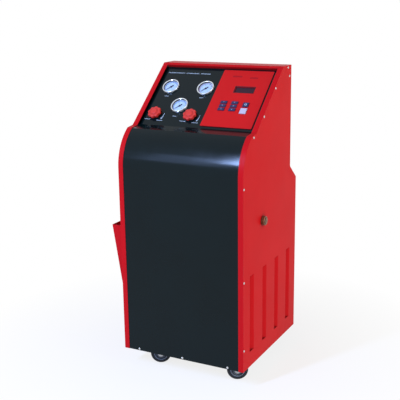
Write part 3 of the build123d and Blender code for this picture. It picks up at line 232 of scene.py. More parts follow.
RED = (0.58, 0.008, 0.010)
# The recess shade setting is painted shade: it sets how strongly each material's recesses are painted darker.
MATERIALS = {
    "red_paint": material("red_paint", RED, 0.34, specular=0.025, drift=0.04, grain=320.0, grain_height=0.02,
                          wear=0.35, wear_colour=(0.68, 0.05, 0.06), bevel=0.9, recess_shade=0.75),
    "keypad_red": material("keypad_red", (0.62, 0.009, 0.009), 0.40, specular=0.10, drift=0.03, grain=900.0,
                           grain_height=0.006, recess_shade=0.5, recess_shade_reach=6.0),
    "black_paint": material("black_paint", (0.0015, 0.0068, 0.0070), 0.145, specular=0.16, drift=0.10,
                            grain=300.0, grain_height=0.012, spread=0.04, wear=0.25,
                            wear_colour=(0.02, 0.03, 0.05)),
    "galvanised_steel": material("galvanised_steel", (0.40, 0.41, 0.42), 0.40, metallic=0.9, drift=0.18,
                                 drift_scale=70.0, spread=0.18, grain=400.0, grain_height=0.02, recess_shade=0.7),
    "stainless": material("stainless", (0.60, 0.61, 0.62), 0.28, metallic=1.0, grain=900.0,
                          grain_height=0.006, bevel=0.2),
    "chrome": material("chrome", (0.70, 0.76, 0.86), 0.14, metallic=1.0, drift=0.03, spread=0.04,
                       grain=700.0, grain_height=0.003, bevel=0.4),
    "lock_bronze": material("lock_bronze", (0.20, 0.10, 0.055), 0.34, metallic=0.85, drift=0.12,
                            drift_scale=120.0, grain=900.0, grain_height=0.01, bevel=0.5, wear=0.6,
                            wear_colour=(0.50, 0.30, 0.18), recess_shade=0.9, recess_shade_reach=6.0),
    "brass": material("brass", (0.62, 0.42, 0.16), 0.28, metallic=1.0, drift=0.10, grain=900.0,
                      grain_height=0.01, stretch=(1.0, 0.05, 1.0), recess_shade=0.5, recess_shade_reach=5.0),
    "aluminium": material("aluminium", (0.60, 0.61, 0.62), 0.36, metallic=1.0, grain=700.0,
                          grain_height=0.012, stretch=(1.0, 1.0, 0.05)),
    "dial_white": material("dial_white", (0.52, 0.63, 0.74), 0.45, specular=0.2, drift=0.02, bevel=0.0,
                           grain_height=0.002),
    "needle_black": material("needle_black", (0.010, 0.014, 0.03), 0.40, specular=0.2, bevel=0.1,
                             grain_height=0.002),
    "knob_red": material("knob_red", (0.68, 0.036, 0.024), 0.42, specular=0.25, drift=0.04, grain=1200.0,
                         grain_height=0.008, bevel=0.0, wear=0.25, wear_colour=(0.76, 0.12, 0.10),
                         recess_shade=0.8, recess_shade_reach=8.0),
    "key_dark": material("key_dark", (0.020, 0.018, 0.060), 0.45, specular=0.25, grain=1500.0,
                         grain_height=0.005, bevel=0.4),
    "key_white": material("key_white", (0.55, 0.45, 0.49), 0.42, specular=0.25, drift=0.03, grain=1500.0,
                          grain_height=0.005, bevel=0.4),
    "display_glass": material("display_glass", (0.040, 0.012, 0.018), 0.20, specular=0.12, grain=60.0,
                              grain_height=0.001, bevel=0.3),
    "display_trim": material("display_trim", (0.034, 0.010, 0.013), 0.38, specular=0.12, grain=1200.0,
                             grain_height=0.006, bevel=0.2),
    "circuit_board": material("circuit_board", (0.02, 0.12, 0.05), 0.45, drift=0.12, drift_scale=200.0),
    "tyre_rubber": material("tyre_rubber", (0.014, 0.016, 0.020), 0.58, specular=0.25, drift=0.12, spread=0.14,
                            grain=900.0, grain_height=0.04, bevel=0.0, sheen=0.05, recess_shade=0.5),
    "hub_grey": material("hub_grey", (0.16, 0.18, 0.21), 0.45, specular=0.3, drift=0.08, grain=1100.0,
                         grain_height=0.01, bevel=0.3, recess_shade=0.7, recess_shade_reach=10.0),
    "tank_blue": material("tank_blue", (0.08, 0.20, 0.38), 0.35, drift=0.06),
    "machine_black": material("machine_black", (0.022, 0.022, 0.024), 0.42, specular=0.4, drift=0.12,
                              grain_height=0.02),
    "inlet_black": material("inlet_black", (0.016, 0.016, 0.018), 0.40, specular=0.4, drift=0.08,
                            grain=1400.0, grain_height=0.015, recess_shade=0.5, recess_shade_reach=8.0),
    "print_light": material("print_light", (0.50, 0.55, 0.56), 0.45, specular=0.2, bevel=0.0,
                            grain_height=0.001),
    "print_dim": material("print_dim", (0.30, 0.006, 0.012), 0.5, specular=0.1, bevel=0.0,
                          grain_height=0.001),
    "print_dark": material("print_dark", (0.02, 0.04, 0.10), 0.5, specular=0.2, bevel=0.0,
                           grain_height=0.001),
    "print_blue": material("print_blue", (0.05, 0.13, 0.40), 0.5, specular=0.2, bevel=0.0,
                           grain_height=0.001),
    "print_warm": material("print_warm", (0.50, 0.05, 0.05), 0.5, specular=0.2, bevel=0.0,
                           grain_height=0.001),
}


def clear_lens():
    """Thin clear glass: see-through, with a mirror reflection on its outer face that grows at low angles."""
    made = bpy.data.materials.new("clear_lens")
    made.use_nodes = True
    tree = made.node_tree
    shader = tree.nodes["Principled BSDF"]
    shader.inputs["Base Color"].default_value = (0.86, 0.93, 1.0, 1.0)
    shader.inputs["Metallic"].default_value = 1.0
    shader.inputs["Roughness"].default_value = 0.05
    fresnel = node(tree, "ShaderNodeFresnel", IOR=1.35)
    geometry = node(tree, "ShaderNodeNewGeometry")
    outer = tree.nodes.new("ShaderNodeMath")
    outer.operation = "MULTIPLY"
    tree.links.new(fresnel.outputs["Fac"], outer.inputs[0])
    tree.links.new(ranged(tree, geometry.outputs["Backfacing"], 1.0, 0.0), outer.inputs[1])
    tree.links.new(ranged(tree, outer.outputs["Value"], 0.01, 0.9), shader.inputs["Alpha"])
    return made


MATERIALS["clear_lens"] = clear_lens()
for entry in frame["record"]["subparts"]:
    piece = NODES[entry["node"]]
    piece.data.materials.clear()
    name = "keypad_red" if entry["node"] == "keypad_plate" else entry["material_slot"]
    piece.data.materials.append(MATERIALS[name])


# Mesh helpers
def finish_mesh(name, mesh, body, material_name, smooth_angle=35.0, slot=None):
    for face in mesh.polygons:
        face.use_smooth = True
    mesh.set_sharp_from_angle(angle=math.radians(smooth_angle))
    mesh.materials.append(MATERIALS[material_name])
    made = bpy.data.objects.new(name, mesh)
    scene.collection.objects.link(made)
    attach(made, body)
    return made


def mesh_from(build, name, body, material_name, placement=None, **options):
    """Object whose mesh is made by build(bm) in millimetres and put in place."""
    bm = bmesh.new()
    build(bm)
    bmesh.ops.recalc_face_normals(bm, faces=bm.faces)
    bmesh.ops.transform(bm, matrix=(placement or Matrix()) @ Matrix.Scale(MM, 4), verts=bm.verts)
    mesh = bpy.data.meshes.new(name)
    bm.to_mesh(mesh)
    bm.free()
    return finish_mesh(name, mesh, body, material_name, **options)


def skin_rings(bm, rings, close=False):
    """Faces between rings of points; a ring with one point closes the surface."""
    loops = [[bm.verts.new(point) for point in ring] for ring in rings]
    pairs = list(zip(loops, loops[1:]))
    if close:
        pairs.append((loops[-1], loops[0]))
    for near, far in pairs:
        count = max(len(near), len(far))
        for i in range(count):
            j = (i + 1) % count
            if len(near) == 1:
                bm.faces.new((near[0], far[i], far[j]))
            elif len(far) == 1:
                bm.faces.new((near[i], far[0], near[j]))
            else:
                bm.faces.new((near[i], far[i], far[j], near[j]))
    return loops


def ring(radius, height, segments):
    if radius == 0:
        return [(0, 0, height)]
    return [(radius * math.cos(t), radius * math.sin(t), height)
            for t in (2 * math.pi * i / segments for i in range(segments))]


def lathe(bm, profile, segments=72, close=False):
    """Surface of revolution about Z from (radius, height) points."""
    skin_rings(bm, [ring(radius, height, segments) for radius, height in profile], close)


def patch(bm, points, height=0.0):
    bm.faces.new([bm.verts.new((x, y, height)) for x, y in points])


def bar(bm, x0, y0, x1, y1, width, height=0.0):
    """Flat bar between two points."""
    along = Vector((x1 - x0, y1 - y0)).normalized()
    side = Vector((-along.y, along.x)) * width / 2
    patch(bm, [(x0 + side.x, y0 + side.y), (x0 - side.x, y0 - side.y), (x1 - side.x, y1 - side.y),
               (x1 + side.x, y1 + side.y)], height)


def arc_band(bm, inner, outer, start, end, steps=24, height=0.0):
    """Flat band of a ring; inner and outer may be functions of the share along it."""
    near, far = [], []
    for i in range(steps + 1):
        share = i / steps
        angle = math.radians(start + (end - start) * share)
        a = inner(share) if callable(inner) else inner
        b = outer(share) if callable(outer) else outer
        near.append(bm.verts.new((a * math.cos(angle), a * math.sin(angle), height)))
        far.append(bm.verts.new((b * math.cos(angle), b * math.sin(angle), height)))
    for i in range(steps):
        bm.faces.new((near[i], near[i + 1], far[i + 1], far[i]))


def number(bm, text, x, y, size, height=0.0):
    """Plain figures as flat faces, centred on a point."""
    curve = bpy.data.curves.new("figure", "FONT")
    curve.body = text
    curve.size = size
    curve.align_x = "CENTER"
    curve.align_y = "CENTER"
    holder = bpy.data.objects.new("figure", curve)
    flat = bpy.data.meshes.new_from_object(holder)
    flat.transform(Matrix.Translation((x, y, height)))
    bm.from_mesh(flat)
    bpy.data.objects.remove(holder)
    bpy.data.curves.remove(curve)
    bpy.data.meshes.remove(flat)


# Gauge dials: scale rings with marks and figures
PRINT_LIFT = 0.12
SCALE_START = 225.0
SCALE_SWEEP = -270.0


def dial_marks(bm):
    arc_band(bm, 22.6, 23.0, SCALE_START, SCALE_START + SCALE_SWEEP, 60, PRINT_LIFT)
    divisions = 50
    for i in range(divisions + 1):
        angle = math.radians(SCALE_START + SCALE_SWEEP * i / divisions)
        long_mark = i % 5 == 0
        inner = 19.2 if long_mark else 21.0
        width = 0.85 if long_mark else 0.40
        c, s = math.cos(angle), math.sin(angle)
        bar(bm, inner * c, inner * s, 23.0 * c, 23.0 * s, width, PRINT_LIFT)


def dial_figures(step):
    def build(bm):
        for i in range(6):
            angle = math.radians(SCALE_START + SCALE_SWEEP * i / 5)
            number(bm, str(i * step), 15.4 * math.cos(angle), 15.4 * math.sin(angle), 4.4, PRINT_LIFT)
    return build


DIAL_STEPS = {"low": 2, "high": 7, "tank": 5}
DIAL_BANDS = {"low": "print_blue", "high": "print_warm", "tank": "print_blue"}
for name, (u, v) in GAUGES.items():
    place = panel_matrix(u, v)
    mesh_from(dial_marks, f"{name}_dial_marks", "cabinet", "print_dark", place)
    mesh_from(dial_figures(DIAL_STEPS[name]), f"{name}_dial_figures", "cabinet", "print_dark", place)
    mesh_from(lambda bm: arc_band(bm, 23.6, 24.8, SCALE_START, SCALE_START + SCALE_SWEEP, 60, PRINT_LIFT),
              f"{name}_dial_band", "cabinet", DIAL_BANDS[name], place)


# Gauge needles: tapered blade with a broad tail and a raised hub
NEEDLE_BLADE = [(-10.0, 2.0), (-8.5, 2.3), (-4.5, 1.7), (0.0, 1.5), (10.0, 1.2), (18.6, 0.8), (20.4, 0.15)]
NEEDLE_LOW, NEEDLE_HIGH = 1.6, 2.3
NEEDLE_REST = 225.0


def needle(bm):
    outline = NEEDLE_BLADE + [(x, -half) for x, half in reversed(NEEDLE_BLADE)]
    for height in (NEEDLE_LOW, NEEDLE_HIGH):
        patch(bm, outline, height)
    bm.verts.ensure_lookup_table()
    count = len(outline)
    for i in range(count):
        j = (i + 1) % count
        bm.faces.new((bm.verts[i], bm.verts[j], bm.verts[count + j], bm.verts[count + i]))
    lathe(bm, [(0, -9.0), (1.5, -9.0), (1.5, 1.0), (3.6, 1.0), (3.9, 1.4), (3.9, 2.3), (3.4, 2.9), (1.2, 3.1),
               (1.0, 3.5), (0, 3.6)], 40)


for name, (u, v) in GAUGES.items():
    piece = mesh_from(needle, f"{name}_needle_blade", f"{name}_needle", "needle_black",
                      panel_matrix(u, v, 0.0, NEEDLE_REST), slot="needle_black")
    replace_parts(piece, f"{name}_gauge_needle")


# Gauge bezels: turned rings with a rolled lip, and a shallow groove where they are crimped
BEZEL_PROFILE = [(28.9, 1.6), (31.3, 1.6), (31.5, 1.9), (31.5, 3.0), (31.1, 3.3), (31.5, 3.6), (31.5, 6.2),
                 (31.2, 7.2), (30.5, 7.8), (29.6, 8.0), (28.7, 7.8), (27.9, 7.2), (27.4, 6.6), (28.9, 6.6)]


def bezels(bm):
    for u, v in GAUGES.values():
        before = len(bm.verts)
        lathe(bm, BEZEL_PROFILE, 96, close=True)
        bm.verts.ensure_lookup_table()
        bmesh.ops.transform(bm, matrix=Matrix.Translation((u, v, 0)), verts=bm.verts[before:])


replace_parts(mesh_from(bezels, "gauge_bezel_rings", "cabinet", "chrome", panel_matrix(0, 0), slot="chrome"),
            "gauge_bezels")


# Valve knobs: lobed, with a rounded crown, a dished face and a cap
LOBES = 8
KNOB_RADIUS = 24.5
KNOB_SEGMENTS = 128


def lobed_ring(radius, depth, height):
    points = []
    for i in range(KNOB_SEGMENTS):
        angle = 2 * math.pi * i / KNOB_SEGMENTS
        notch = (0.5 - 0.5 * math.cos(LOBES * angle)) ** 1.6
        reach = radius - depth * notch
        points.append((reach * math.cos(angle), reach * math.sin(angle), height))
    return points


def knob(bm):
    base, top, radius = 3.0, 15.0, KNOB_RADIUS
    rings = [ring(0, base, KNOB_SEGMENTS), ring(11.0, base, KNOB_SEGMENTS),
             lobed_ring(radius - 2.0, 3.0, base), lobed_ring(radius - 0.5, 3.3, base + 0.8),
             lobed_ring(radius, 3.5, base + 2.4), lobed_ring(radius, 3.5, top - 3.6),
             lobed_ring(radius - 0.5, 3.4, top - 1.7), lobed_ring(radius - 1.8, 3.0, top - 0.5),
             lobed_ring(radius - 3.6, 2.4, top), lobed_ring(radius - 6.0, 1.2, top - 0.2),
             ring(15.4, top - 1.0, KNOB_SEGMENTS), ring(13.2, top - 1.2, KNOB_SEGMENTS),
             ring(12.2, top - 0.6, KNOB_SEGMENTS), ring(11.4, top + 1.8, KNOB_SEGMENTS),
             ring(10.4, top + 2.6, KNOB_SEGMENTS), ring(8.8, top + 3.0, KNOB_SEGMENTS),
             ring(0, top + 2.8, KNOB_SEGMENTS)]
    skin_rings(bm, rings)


for name, (u, v) in KNOBS.items():
    piece = mesh_from(knob, f"{name}_knob_moulding", f"{name}_valve", "knob_red", panel_matrix(u, v),
                      smooth_angle=50.0, slot="knob_red")
    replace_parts(piece, f"{name}_valve_knob")


# Printing on the black panel: turning arrows, a row of plain marks and short bars
def turn_arrow(bm):
    """Curved arrow beside a valve knob, pointing clockwise."""
    arc_band(bm, lambda s: 34.6 - 0.7 * s, lambda s: 35.6 + 0.7 * s, 12.0, -26.0, 20)
    end, tip = math.radians(-26.0), math.radians(-37.0)
    c, s = math.cos(end), math.sin(end)
    patch(bm, [(32.2 * c, 32.2 * s), (35.6 * math.cos(tip), 35.6 * math.sin(tip)), (38.4 * c, 38.4 * s)])


def plain_row(lengths, start, height, pitch):
    """Groups of short upright strokes, with a gap between the groups."""
    def build(bm):
        x = start
        for length in lengths:
            end = x + length
            while x < end:
                bar(bm, x, -height / 2, x, height / 2, pitch * 0.5)
                x += pitch
            x += 2.5 * pitch
    return build


TITLE_PLACE = (-203.7, 265.0)
TITLE_GROUPS = (66.9, 51.9, 38.5)
MARK_PITCH = 2.2
PRINTED = [("title_marks", *TITLE_PLACE, plain_row(TITLE_GROUPS, 0.0, 4.0, 2.6))]
for name, (u, v) in KNOBS.items():
    PRINTED.append((f"{name}_turn_arrow", u, v, turn_arrow))
    for side, start, length in (("off", -33.0, 23.0), ("on", 16.0, 24.0)):
        drop = 24.0 if side == "off" else 27.0
        PRINTED.append((f"{name}_{side}_mark", u + start, v - drop, plain_row((length,), 0.0, 3.4, MARK_PITCH)))
for name, (u, v) in GAUGES.items():
    drop = 47.7 if name == "tank" else 43.5
    PRINTED.append((f"{name}_gauge_mark", u - 8.0, v - drop, plain_row((14.0,), 0.0, 3.4, MARK_PITCH)))
for name, u, v, build in PRINTED:
    mesh_from(build, name, "cabinet", "print_light", panel_matrix(u, v, PRINT_LIFT))
for name, u, v, length in (("keypad_left_mark", 60.0, 256.0, 34.0), ("keypad_right_mark", 127.0, 252.0, 30.0)):
    mesh_from(plain_row((length,), 0.0, 7.0, 3.0), name, "cabinet", "print_dim",
              panel_matrix(u, v, 3.0 + PRINT_LIFT))


# Keys: a plain figure on each, and a ring on the start key
KEY_TOP = 6.0
figures = {}
for column, x in (("left", 68.0), ("middle", 109.0)):
    for row, y in (("lower", 102.8), ("centre", 118.5), ("upper", 134.2)):
        figures[f"key_{column}_{row}"] = (x, y)
for index, (name, (x, y)) in enumerate(sorted(figures.items(), key=lambda item: (-item[1][1], item[1][0]))):
    mesh_from(lambda bm, text=str(index + 1): number(bm, text, 0, 0, 7.0), f"{name}_figure", name,
              "print_light", panel_matrix(x, y, KEY_TOP + PRINT_LIFT))
mesh_from(lambda bm: arc_band(bm, 2.6, 4.4, 0.0, 360.0, 32), "key_start_ring", "key_start", "print_light",
          panel_matrix(152.0, 127.5, KEY_TOP + PRINT_LIFT))


# Casters: moulded hubs and tyres with rounded shoulders
def hub(bm):
    half = [(4.05, 13.5), (7.4, 13.5), (8.0, 12.9), (8.0, 9.5), (8.6, 8.6), (12.5, 7.4), (13.2, 7.9), (14.0, 7.9),
            (14.8, 7.2), (18.5, 6.4), (19.4, 7.2), (20.2, 7.2), (21.0, 6.6), (21.8, 9.5), (22.2, 11.4),
            (22.8, 12.0), (25.2, 12.0), (26.0, 11.4)]
    lathe(bm, half + [(radius, -height) for radius, height in reversed(half)], 96, close=True)


def tyre(bm):
    half = [(26.0, 11.6), (27.2, 12.0), (30.0, 11.7), (30.4, 11.3), (31.0, 11.3), (31.4, 11.6), (33.4, 11.2),
            (35.4, 10.0), (36.8, 8.0), (37.4, 5.4), (37.5, 2.6), (37.5, 0.0)]
    lathe(bm, half + [(radius, -height) for radius, height in reversed(half[:-1])], 128, close=True)


for spin in ("front_left", "front_right", "rear_left", "rear_right"):
    joint = JOINTS[f"{spin}_roll"]
    axis = Vector(joint["axis"]).normalized()
    place = Matrix.Translation(Vector(joint["pos_m"])) @ axis.to_track_quat("Z", "Y").to_matrix().to_4x4()
    piece = mesh_from(hub, f"{spin}_hub_moulding", f"{spin}_wheel", "hub_grey", place, slot="hub_grey")
    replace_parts(piece, f"{spin}_wheel_hub")
    piece = mesh_from(tyre, f"{spin}_tyre_moulding", f"{spin}_wheel", "tyre_rubber", place, slot="tyre_rubber")
    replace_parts(piece, f"{spin}_wheel_tyre")


# Hexagon heads on the axle bolts' ends
AXLE_END = 17.0
AXLE_HEAD = 4.4


def hexagon(radius, height):
    return [(radius * math.cos(t), radius * math.sin(t), height)
            for t in (math.pi * i / 3 for i in range(6))]


def axle_heads(bm):
    for side in (1.0, -1.0):
        before = len(bm.verts)
        skin_rings(bm, [ring(0, AXLE_END, 6), hexagon(8.3, AXLE_END), hexagon(8.3, AXLE_END + AXLE_HEAD - 0.9),
                        hexagon(7.3, AXLE_END + AXLE_HEAD), hexagon(4.2, AXLE_END + AXLE_HEAD),
                        hexagon(3.8, AXLE_END + AXLE_HEAD + 0.7), ring(0, AXLE_END + AXLE_HEAD + 0.7, 6)])
        lathe(bm, [(7.9, AXLE_END), (9.4, AXLE_END), (9.4, AXLE_END + 0.7), (9.0, AXLE_END + 0.9),
                   (7.9, AXLE_END + 0.9)], 48, close=True)
        bm.verts.ensure_lookup_table()
        if side < 0:
            bmesh.ops.rotate(bm, matrix=Matrix.Rotation(math.pi, 3, "X"), verts=bm.verts[before:])


for spin, carrier in (("front_left", "front_left_caster"), ("front_right", "front_right_caster"),
                      ("rear_left", "cabinet"), ("rear_right", "cabinet")):
    joint = JOINTS[f"{spin}_roll"]
    axis = Vector(joint["axis"]).normalized()
    place = Matrix.Translation(Vector(joint["pos_m"])) @ axis.to_track_quat("Z", "Y").to_matrix().to_4x4()
    mesh_from(axle_heads, f"{spin}_axle_heads", carrier, "galvanised_steel", place, slot="galvanised_steel")


# Service ports: hexagon with worn corners, threaded spigot with a cone and a bore
THREAD_PITCH = 1.4


def port(bm):
    skin_rings(bm, [ring(0, -7.5, 6), hexagon(9.4, -7.5), hexagon(10.0, -6.9), hexagon(10.0, -1.5),
                    ring(0, -1.5, 6)])
    skin_rings(bm, [ring(0, 0.0, 6), hexagon(9.3, 0.0), hexagon(10.0, 0.5), hexagon(10.0, 7.3),
                    hexagon(9.1, 8.0), ring(0, 8.0, 6)])
    profile = [(0, -10.0), (4.6, -10.0), (5.2, -9.4), (5.2, -7.5), (8.0, -1.6), (8.0, 0.0), (8.4, 8.0), (8.0, 8.4),
               (4.8, 8.4), (4.8, 9.4)]
    height = 9.6
    while height < 17.6:
        profile += [(5.5, height + 0.35), (5.5, height + 0.65), (4.85, height + 1.05)]
        height += THREAD_PITCH
    profile += [(4.9, 18.4), (3.3, 20.0), (2.5, 20.0), (2.3, 13.0), (0, 13.0)]
    lathe(bm, profile, 48)


def ports(bm):
    for mount in frame["record"]["mounts"]:
        if not mount["name"].endswith("_side_port"):
            continue
        axis = Vector(mount["axis"])
        before = len(bm.verts)
        port(bm)
        bm.verts.ensure_lookup_table()
        place = (Matrix.Translation(Vector(mount["pos_m"]) / MM - axis * 14.0)
                 @ axis.to_track_quat("Z", "Y").to_matrix().to_4x4())
        bmesh.ops.transform(bm, matrix=place, verts=bm.verts[before:])


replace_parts(mesh_from(ports, "service_port_fittings", "cabinet", "brass", slot="brass", smooth_angle=40.0),
            "service_ports")


# Mains inlet: three blades in the plug cavity, and the switch's two marks
opening = next(entry for entry in frame["record"]["physics"]["openings"] if entry["name"] == "plug_cavity")
cavity_low, cavity_high = (Vector(corner) for corner in opening["box_m"])
CAVITY = Vector(((cavity_low.x + cavity_high.x) / 2, cavity_low.y, (cavity_low.z + cavity_high.z) / 2))
REAR_AXES = Matrix(((-1, 0, 0), (0, 0, 1), (0, 1, 0))).transposed().to_4x4()


def rectangle(x, y, width, depth, height):
    return [(x - width / 2, y - depth / 2, height), (x + width / 2, y - depth / 2, height),
            (x + width / 2, y + depth / 2, height), (x - width / 2, y + depth / 2, height)]


def inlet_pins(bm):
    for x, y, length in ((-7.0, -2.0, 10.5), (7.0, -2.0, 10.5), (0.0, 2.0, 12.0)):
        skin_rings(bm, [[(x, y, -1.0)], rectangle(x, y, 2.0, 4.0, -1.0), rectangle(x, y, 2.0, 4.0, length - 1.2),
                        rectangle(x, y, 1.3, 3.2, length), [(x, y, length)]])


mesh_from(inlet_pins, "inlet_pins", "cabinet", "stainless", Matrix.Translation(CAVITY) @ REAR_AXES,
          slot="stainless")
ROCKER_TILT = 10.0
ROCKER_FACE = 15.52
rocker_place = (Matrix.Translation(Vector(JOINTS["rocker_tilt"]["pos_m"])) @ REAR_AXES
                @ Matrix.Rotation(math.radians(ROCKER_TILT), 4, "X"))
for name, side, build in (("on", 1.0, lambda bm: bar(bm, 0, -2.2, 0, 2.2, 0.9)),
                          ("off", -1.0, lambda bm: arc_band(bm, 1.4, 2.2, 0.0, 360.0, 32))):
    face = (Matrix.Translation(Vector((0, side * 4.5, 6.33)) * MM)
            @ Matrix.Rotation(math.radians(side * ROCKER_FACE), 4, "X"))
    mesh_from(build, f"rocker_{name}_mark", "rocker", "print_light", rocker_place @ face)


# Display surround: thin dark frame around the opening in the keypad plate
DISPLAY_CENTRE = (123.2, 195.9)
DISPLAY_OPENING = (70.3, 25.0)
PLATE_FACE = 3.0
SURROUND_SIDE, SURROUND_END, SURROUND_RISE = 3.2, 2.8, 0.6


def rounded(half_x, half_y, radius, height, steps=6):
    points = []
    for corner, (sx, sy) in enumerate(((1, 1), (-1, 1), (-1, -1), (1, -1))):
        for i in range(steps + 1):
            angle = math.pi / 2 * (corner + i / steps)
            points.append((sx * (half_x - radius) + radius * math.cos(angle),
                           sy * (half_y - radius) + radius * math.sin(angle), height))
    return points


def surround(bm):
    x, y = DISPLAY_OPENING[0] / 2, DISPLAY_OPENING[1] / 2
    base, top = PLATE_FACE + 0.02, PLATE_FACE + SURROUND_RISE
    wide, tall = x + SURROUND_SIDE, y + SURROUND_END
    skin_rings(bm, [rounded(x + 0.1, y + 0.1, 0.6, base), rounded(wide, tall, 2.0, base),
                    rounded(wide, tall, 2.0, top - 0.3), rounded(wide - 0.3, tall - 0.3, 1.7, top),
                    rounded(x + 0.9, y + 0.9, 1.2, top), rounded(x + 0.1, y + 0.1, 0.6, top - 0.4)], close=True)


mesh_from(surround, "display_surround", "cabinet", "display_trim",
          panel_matrix(*DISPLAY_CENTRE), slot="display_glass")


# Panel screws: domed heads with a cross recess, one over each screw solid
SCREW_HEAD = 1.6
SCREW_SHANK = -8.0
CROSS_REACH, CROSS_HALF = 2.1, 0.5


def loose_boxes(mesh):
    """Lowest and highest corner of each separate part of a mesh."""
    bm = bmesh.new()
    bm.from_mesh(mesh)
    bmesh.ops.remove_doubles(bm, verts=bm.verts, dist=1e-6)
    seen, boxes = set(), []
    for start in bm.verts:
        if start in seen:
            continue
        seen.add(start)
        stack, points = [start], []
        while stack:
            vert = stack.pop()
            points.append(vert.co.copy())
            for edge in vert.link_edges:
                other = edge.other_vert(vert)
                if other not in seen:
                    seen.add(other)
                    stack.append(other)
        boxes.append((Vector(map(min, *points)), Vector(map(max, *points))))
    bm.free()
    return boxes


def cross_ring(scale, height):
    points = []
    for i in range(24):
        angle = 2 * math.pi * i / 24
        c, s = max(abs(math.cos(angle)), 1e-6), max(abs(math.sin(angle)), 1e-6)
        reach = max(min(CROSS_REACH / c, CROSS_HALF / s), min(CROSS_REACH / s, CROSS_HALF / c)) * scale
        points.append((reach * math.cos(angle), reach * math.sin(angle), height))
    return points


def screw(bm):
    outer = [(0, SCREW_SHANK), (2.0, SCREW_SHANK), (2.0, 0.0), (3.9, 0.0), (4.0, 0.15), (4.0, 0.5), (3.8, 0.95),
             (3.3, 1.35), (2.7, SCREW_HEAD)]
    skin_rings(bm, [ring(radius, height, 24) for radius, height in outer]
               + [cross_ring(1.0, SCREW_HEAD), cross_ring(0.85, 0.5), ring(0, 0.4, 24)])


def screws(bm):
    for low, high in loose_boxes(NODES["screws"].data):
        size, middle = high - low, (low + high) / 2
        if size.x > size.y:
            outward = Vector((math.copysign(1, middle.x), 0, 0))
        else:
            outward = Vector((0, -1, 0))
        reach = size.dot(Vector(map(abs, outward))) / 2
        seat = (middle + outward * (reach - SCREW_HEAD * MM)) / MM
        before = len(bm.verts)
        screw(bm)
        bm.verts.ensure_lookup_table()
        turn = Matrix.Rotation(math.radians(17.0 * before), 4, "Z")
        place = Matrix.Translation(seat) @ outward.to_track_quat("Z", "Y").to_matrix().to_4x4() @ turn
        bmesh.ops.transform(bm, matrix=place, verts=bm.verts[before:])


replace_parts(mesh_from(screws, "screw_heads", "cabinet", "stainless", slot="stainless", smooth_angle=40.0),
            "screws")


# Lock barrel: stepped head with a rolled edge and a groove
def lock_barrel(bm):
    lathe(bm, [(8.05, -22.0), (11.0, -22.0), (11.0, -5.5), (15.0, -5.5), (15.0, -1.5), (11.0, -1.5), (11.0, 0.0),
               (15.6, 0.0), (16.0, 0.5), (16.0, 2.6), (15.5, 3.1), (15.5, 3.9), (16.0, 4.4), (16.0, 8.8),
               (15.7, 10.2), (14.9, 11.3), (13.8, 11.9), (12.6, 12.0), (11.7, 11.7), (11.3, 11.1), (10.6, 11.0),
               (8.05, 11.4)], 96, close=True)


joint = JOINTS["lock_turn"]
place = (Matrix.Translation(Vector(joint["pos_m"]))
         @ Vector(joint["axis"]).to_track_quat("Z", "Y").to_matrix().to_4x4())
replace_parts(mesh_from(lock_barrel, "lock_barrel_turned", "cabinet", "lock_bronze", place, slot="lock_bronze"),
            "lock_barrel")


# Smooth shading on the carried-over solids
for piece in NODES.values():
    for face in piece.data.polygons:
        face.use_smooth = True
    piece.data.set_sharp_from_angle(angle=math.radians(20.0))


# Floor, light and background
def floor_material():
    """White floor that keeps the soft shadow near the object and fades to the background."""
    made = bpy.data.materials.new("floor")
    made.use_nodes = True
    tree = made.node_tree
    shader = tree.nodes["Principled BSDF"]
    shader.inputs["Base Color"].default_value = (0.88, 0.88, 0.88, 1.0)
    shader.inputs["Roughness"].default_value = 0.9
    shader.inputs["Specular IOR Level"].default_value = 0.0
    glow = node(tree, "ShaderNodeEmission", Strength=1.0)
    glow.inputs["Color"].default_value = (1.0, 1.0, 1.0, 1.0)
    place = node(tree, "ShaderNodeTexCoord")
    length = tree.nodes.new("ShaderNodeVectorMath")
    length.operation = "LENGTH"
    tree.links.new(place.outputs["Object"], length.inputs[0])
    fade = ranged(tree, length.outputs["Value"], 0.80, 1.0, 0.35, 1.0)
    rays = node(tree, "ShaderNodeLightPath")
    seen = tree.nodes.new("ShaderNodeMath")
    seen.operation = "MAXIMUM"
    tree.links.new(rays.outputs["Is Camera Ray"], seen.inputs[0])
    tree.links.new(rays.outputs["Is Glossy Ray"], seen.inputs[1])
    amount = tree.nodes.new("ShaderNodeMath")
    amount.operation = "MULTIPLY"
    tree.links.new(fade, amount.inputs[0])
    tree.links.new(seen.outputs["Value"], amount.inputs[1])
    mix = tree.nodes.new("ShaderNodeMixShader")
    tree.links.new(amount.outputs["Value"], mix.inputs["Fac"])
    tree.links.new(shader.outputs["BSDF"], mix.inputs[1])
    tree.links.new(glow.outputs["Emission"], mix.inputs[2])
    tree.links.new(mix.outputs["Shader"], tree.nodes["Material Output"].inputs["Surface"])
    return made


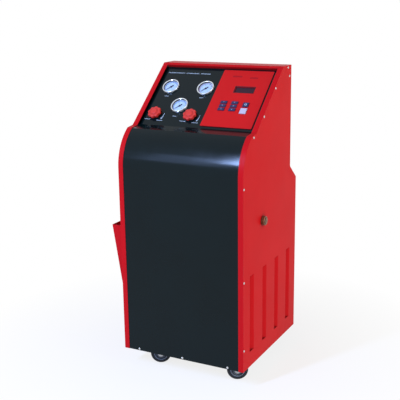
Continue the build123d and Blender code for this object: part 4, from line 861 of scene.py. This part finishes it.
floor_mesh = bpy.data.meshes.new("floor")
reach = 30.0
floor_mesh.from_pydata([(-reach, -reach, 0), (reach, -reach, 0), (reach, reach, 0), (-reach, reach, 0)], [],
                       [(0, 1, 2, 3)])
floor_mesh.materials.append(floor_material())
floor = bpy.data.objects.new("floor", floor_mesh)
scene.collection.objects.link(floor)

world = bpy.data.worlds.new("studio")
scene.world = world
world.use_nodes = True
tree = world.node_tree
WORLD_FILL = 0.33
rays = node(tree, "ShaderNodeLightPath")
first = tree.nodes.new("ShaderNodeMath")
first.operation = "MAXIMUM"
tree.links.new(rays.outputs["Is Camera Ray"], first.inputs[0])
tree.links.new(rays.outputs["Is Glossy Ray"], first.inputs[1])
second = tree.nodes.new("ShaderNodeMath")
second.operation = "MAXIMUM"
tree.links.new(first.outputs["Value"], second.inputs[0])
tree.links.new(rays.outputs["Is Transmission Ray"], second.inputs[1])
background = tree.nodes["Background"]
background.inputs["Color"].default_value = (1.0, 1.0, 1.0, 1.0)
tree.links.new(ranged(tree, second.outputs["Value"], WORLD_FILL, 1.0), background.inputs["Strength"])


COOL = (0.36, 0.53, 1.0)


def softbox(name, place, target, width, height, power, colour=(1.0, 1.0, 1.0)):
    """Rectangular area lamp at a place, aimed at a target, both in millimetres from the datum."""
    light = bpy.data.lights.new(name, "AREA")
    light.shape = "RECTANGLE"
    light.size = width
    light.size_y = height
    light.energy = power
    light.color = colour
    lamp = bpy.data.objects.new(name, light)
    aim = cabinet(*target) - cabinet(*place)
    lamp.matrix_world = (Matrix.Translation(cabinet(*place))
                         @ aim.to_track_quat("-Z", "Y").to_matrix().to_4x4())
    scene.collection.objects.link(lamp)
    return lamp


softbox("right_box", (3250, 100, 1150), (236, 230, 450), 2.4, 2.4, 60.0)
softbox("strip_box", (-735, -2016, 2045), (190, 10, 722), 0.17, 1.1, 112.0, COOL)
softbox("left_box", (-1180, -2140, 1560), (60, 10, 715), 0.55, 0.8, 6.5, COOL)

scene.view_settings.view_transform = "Standard"
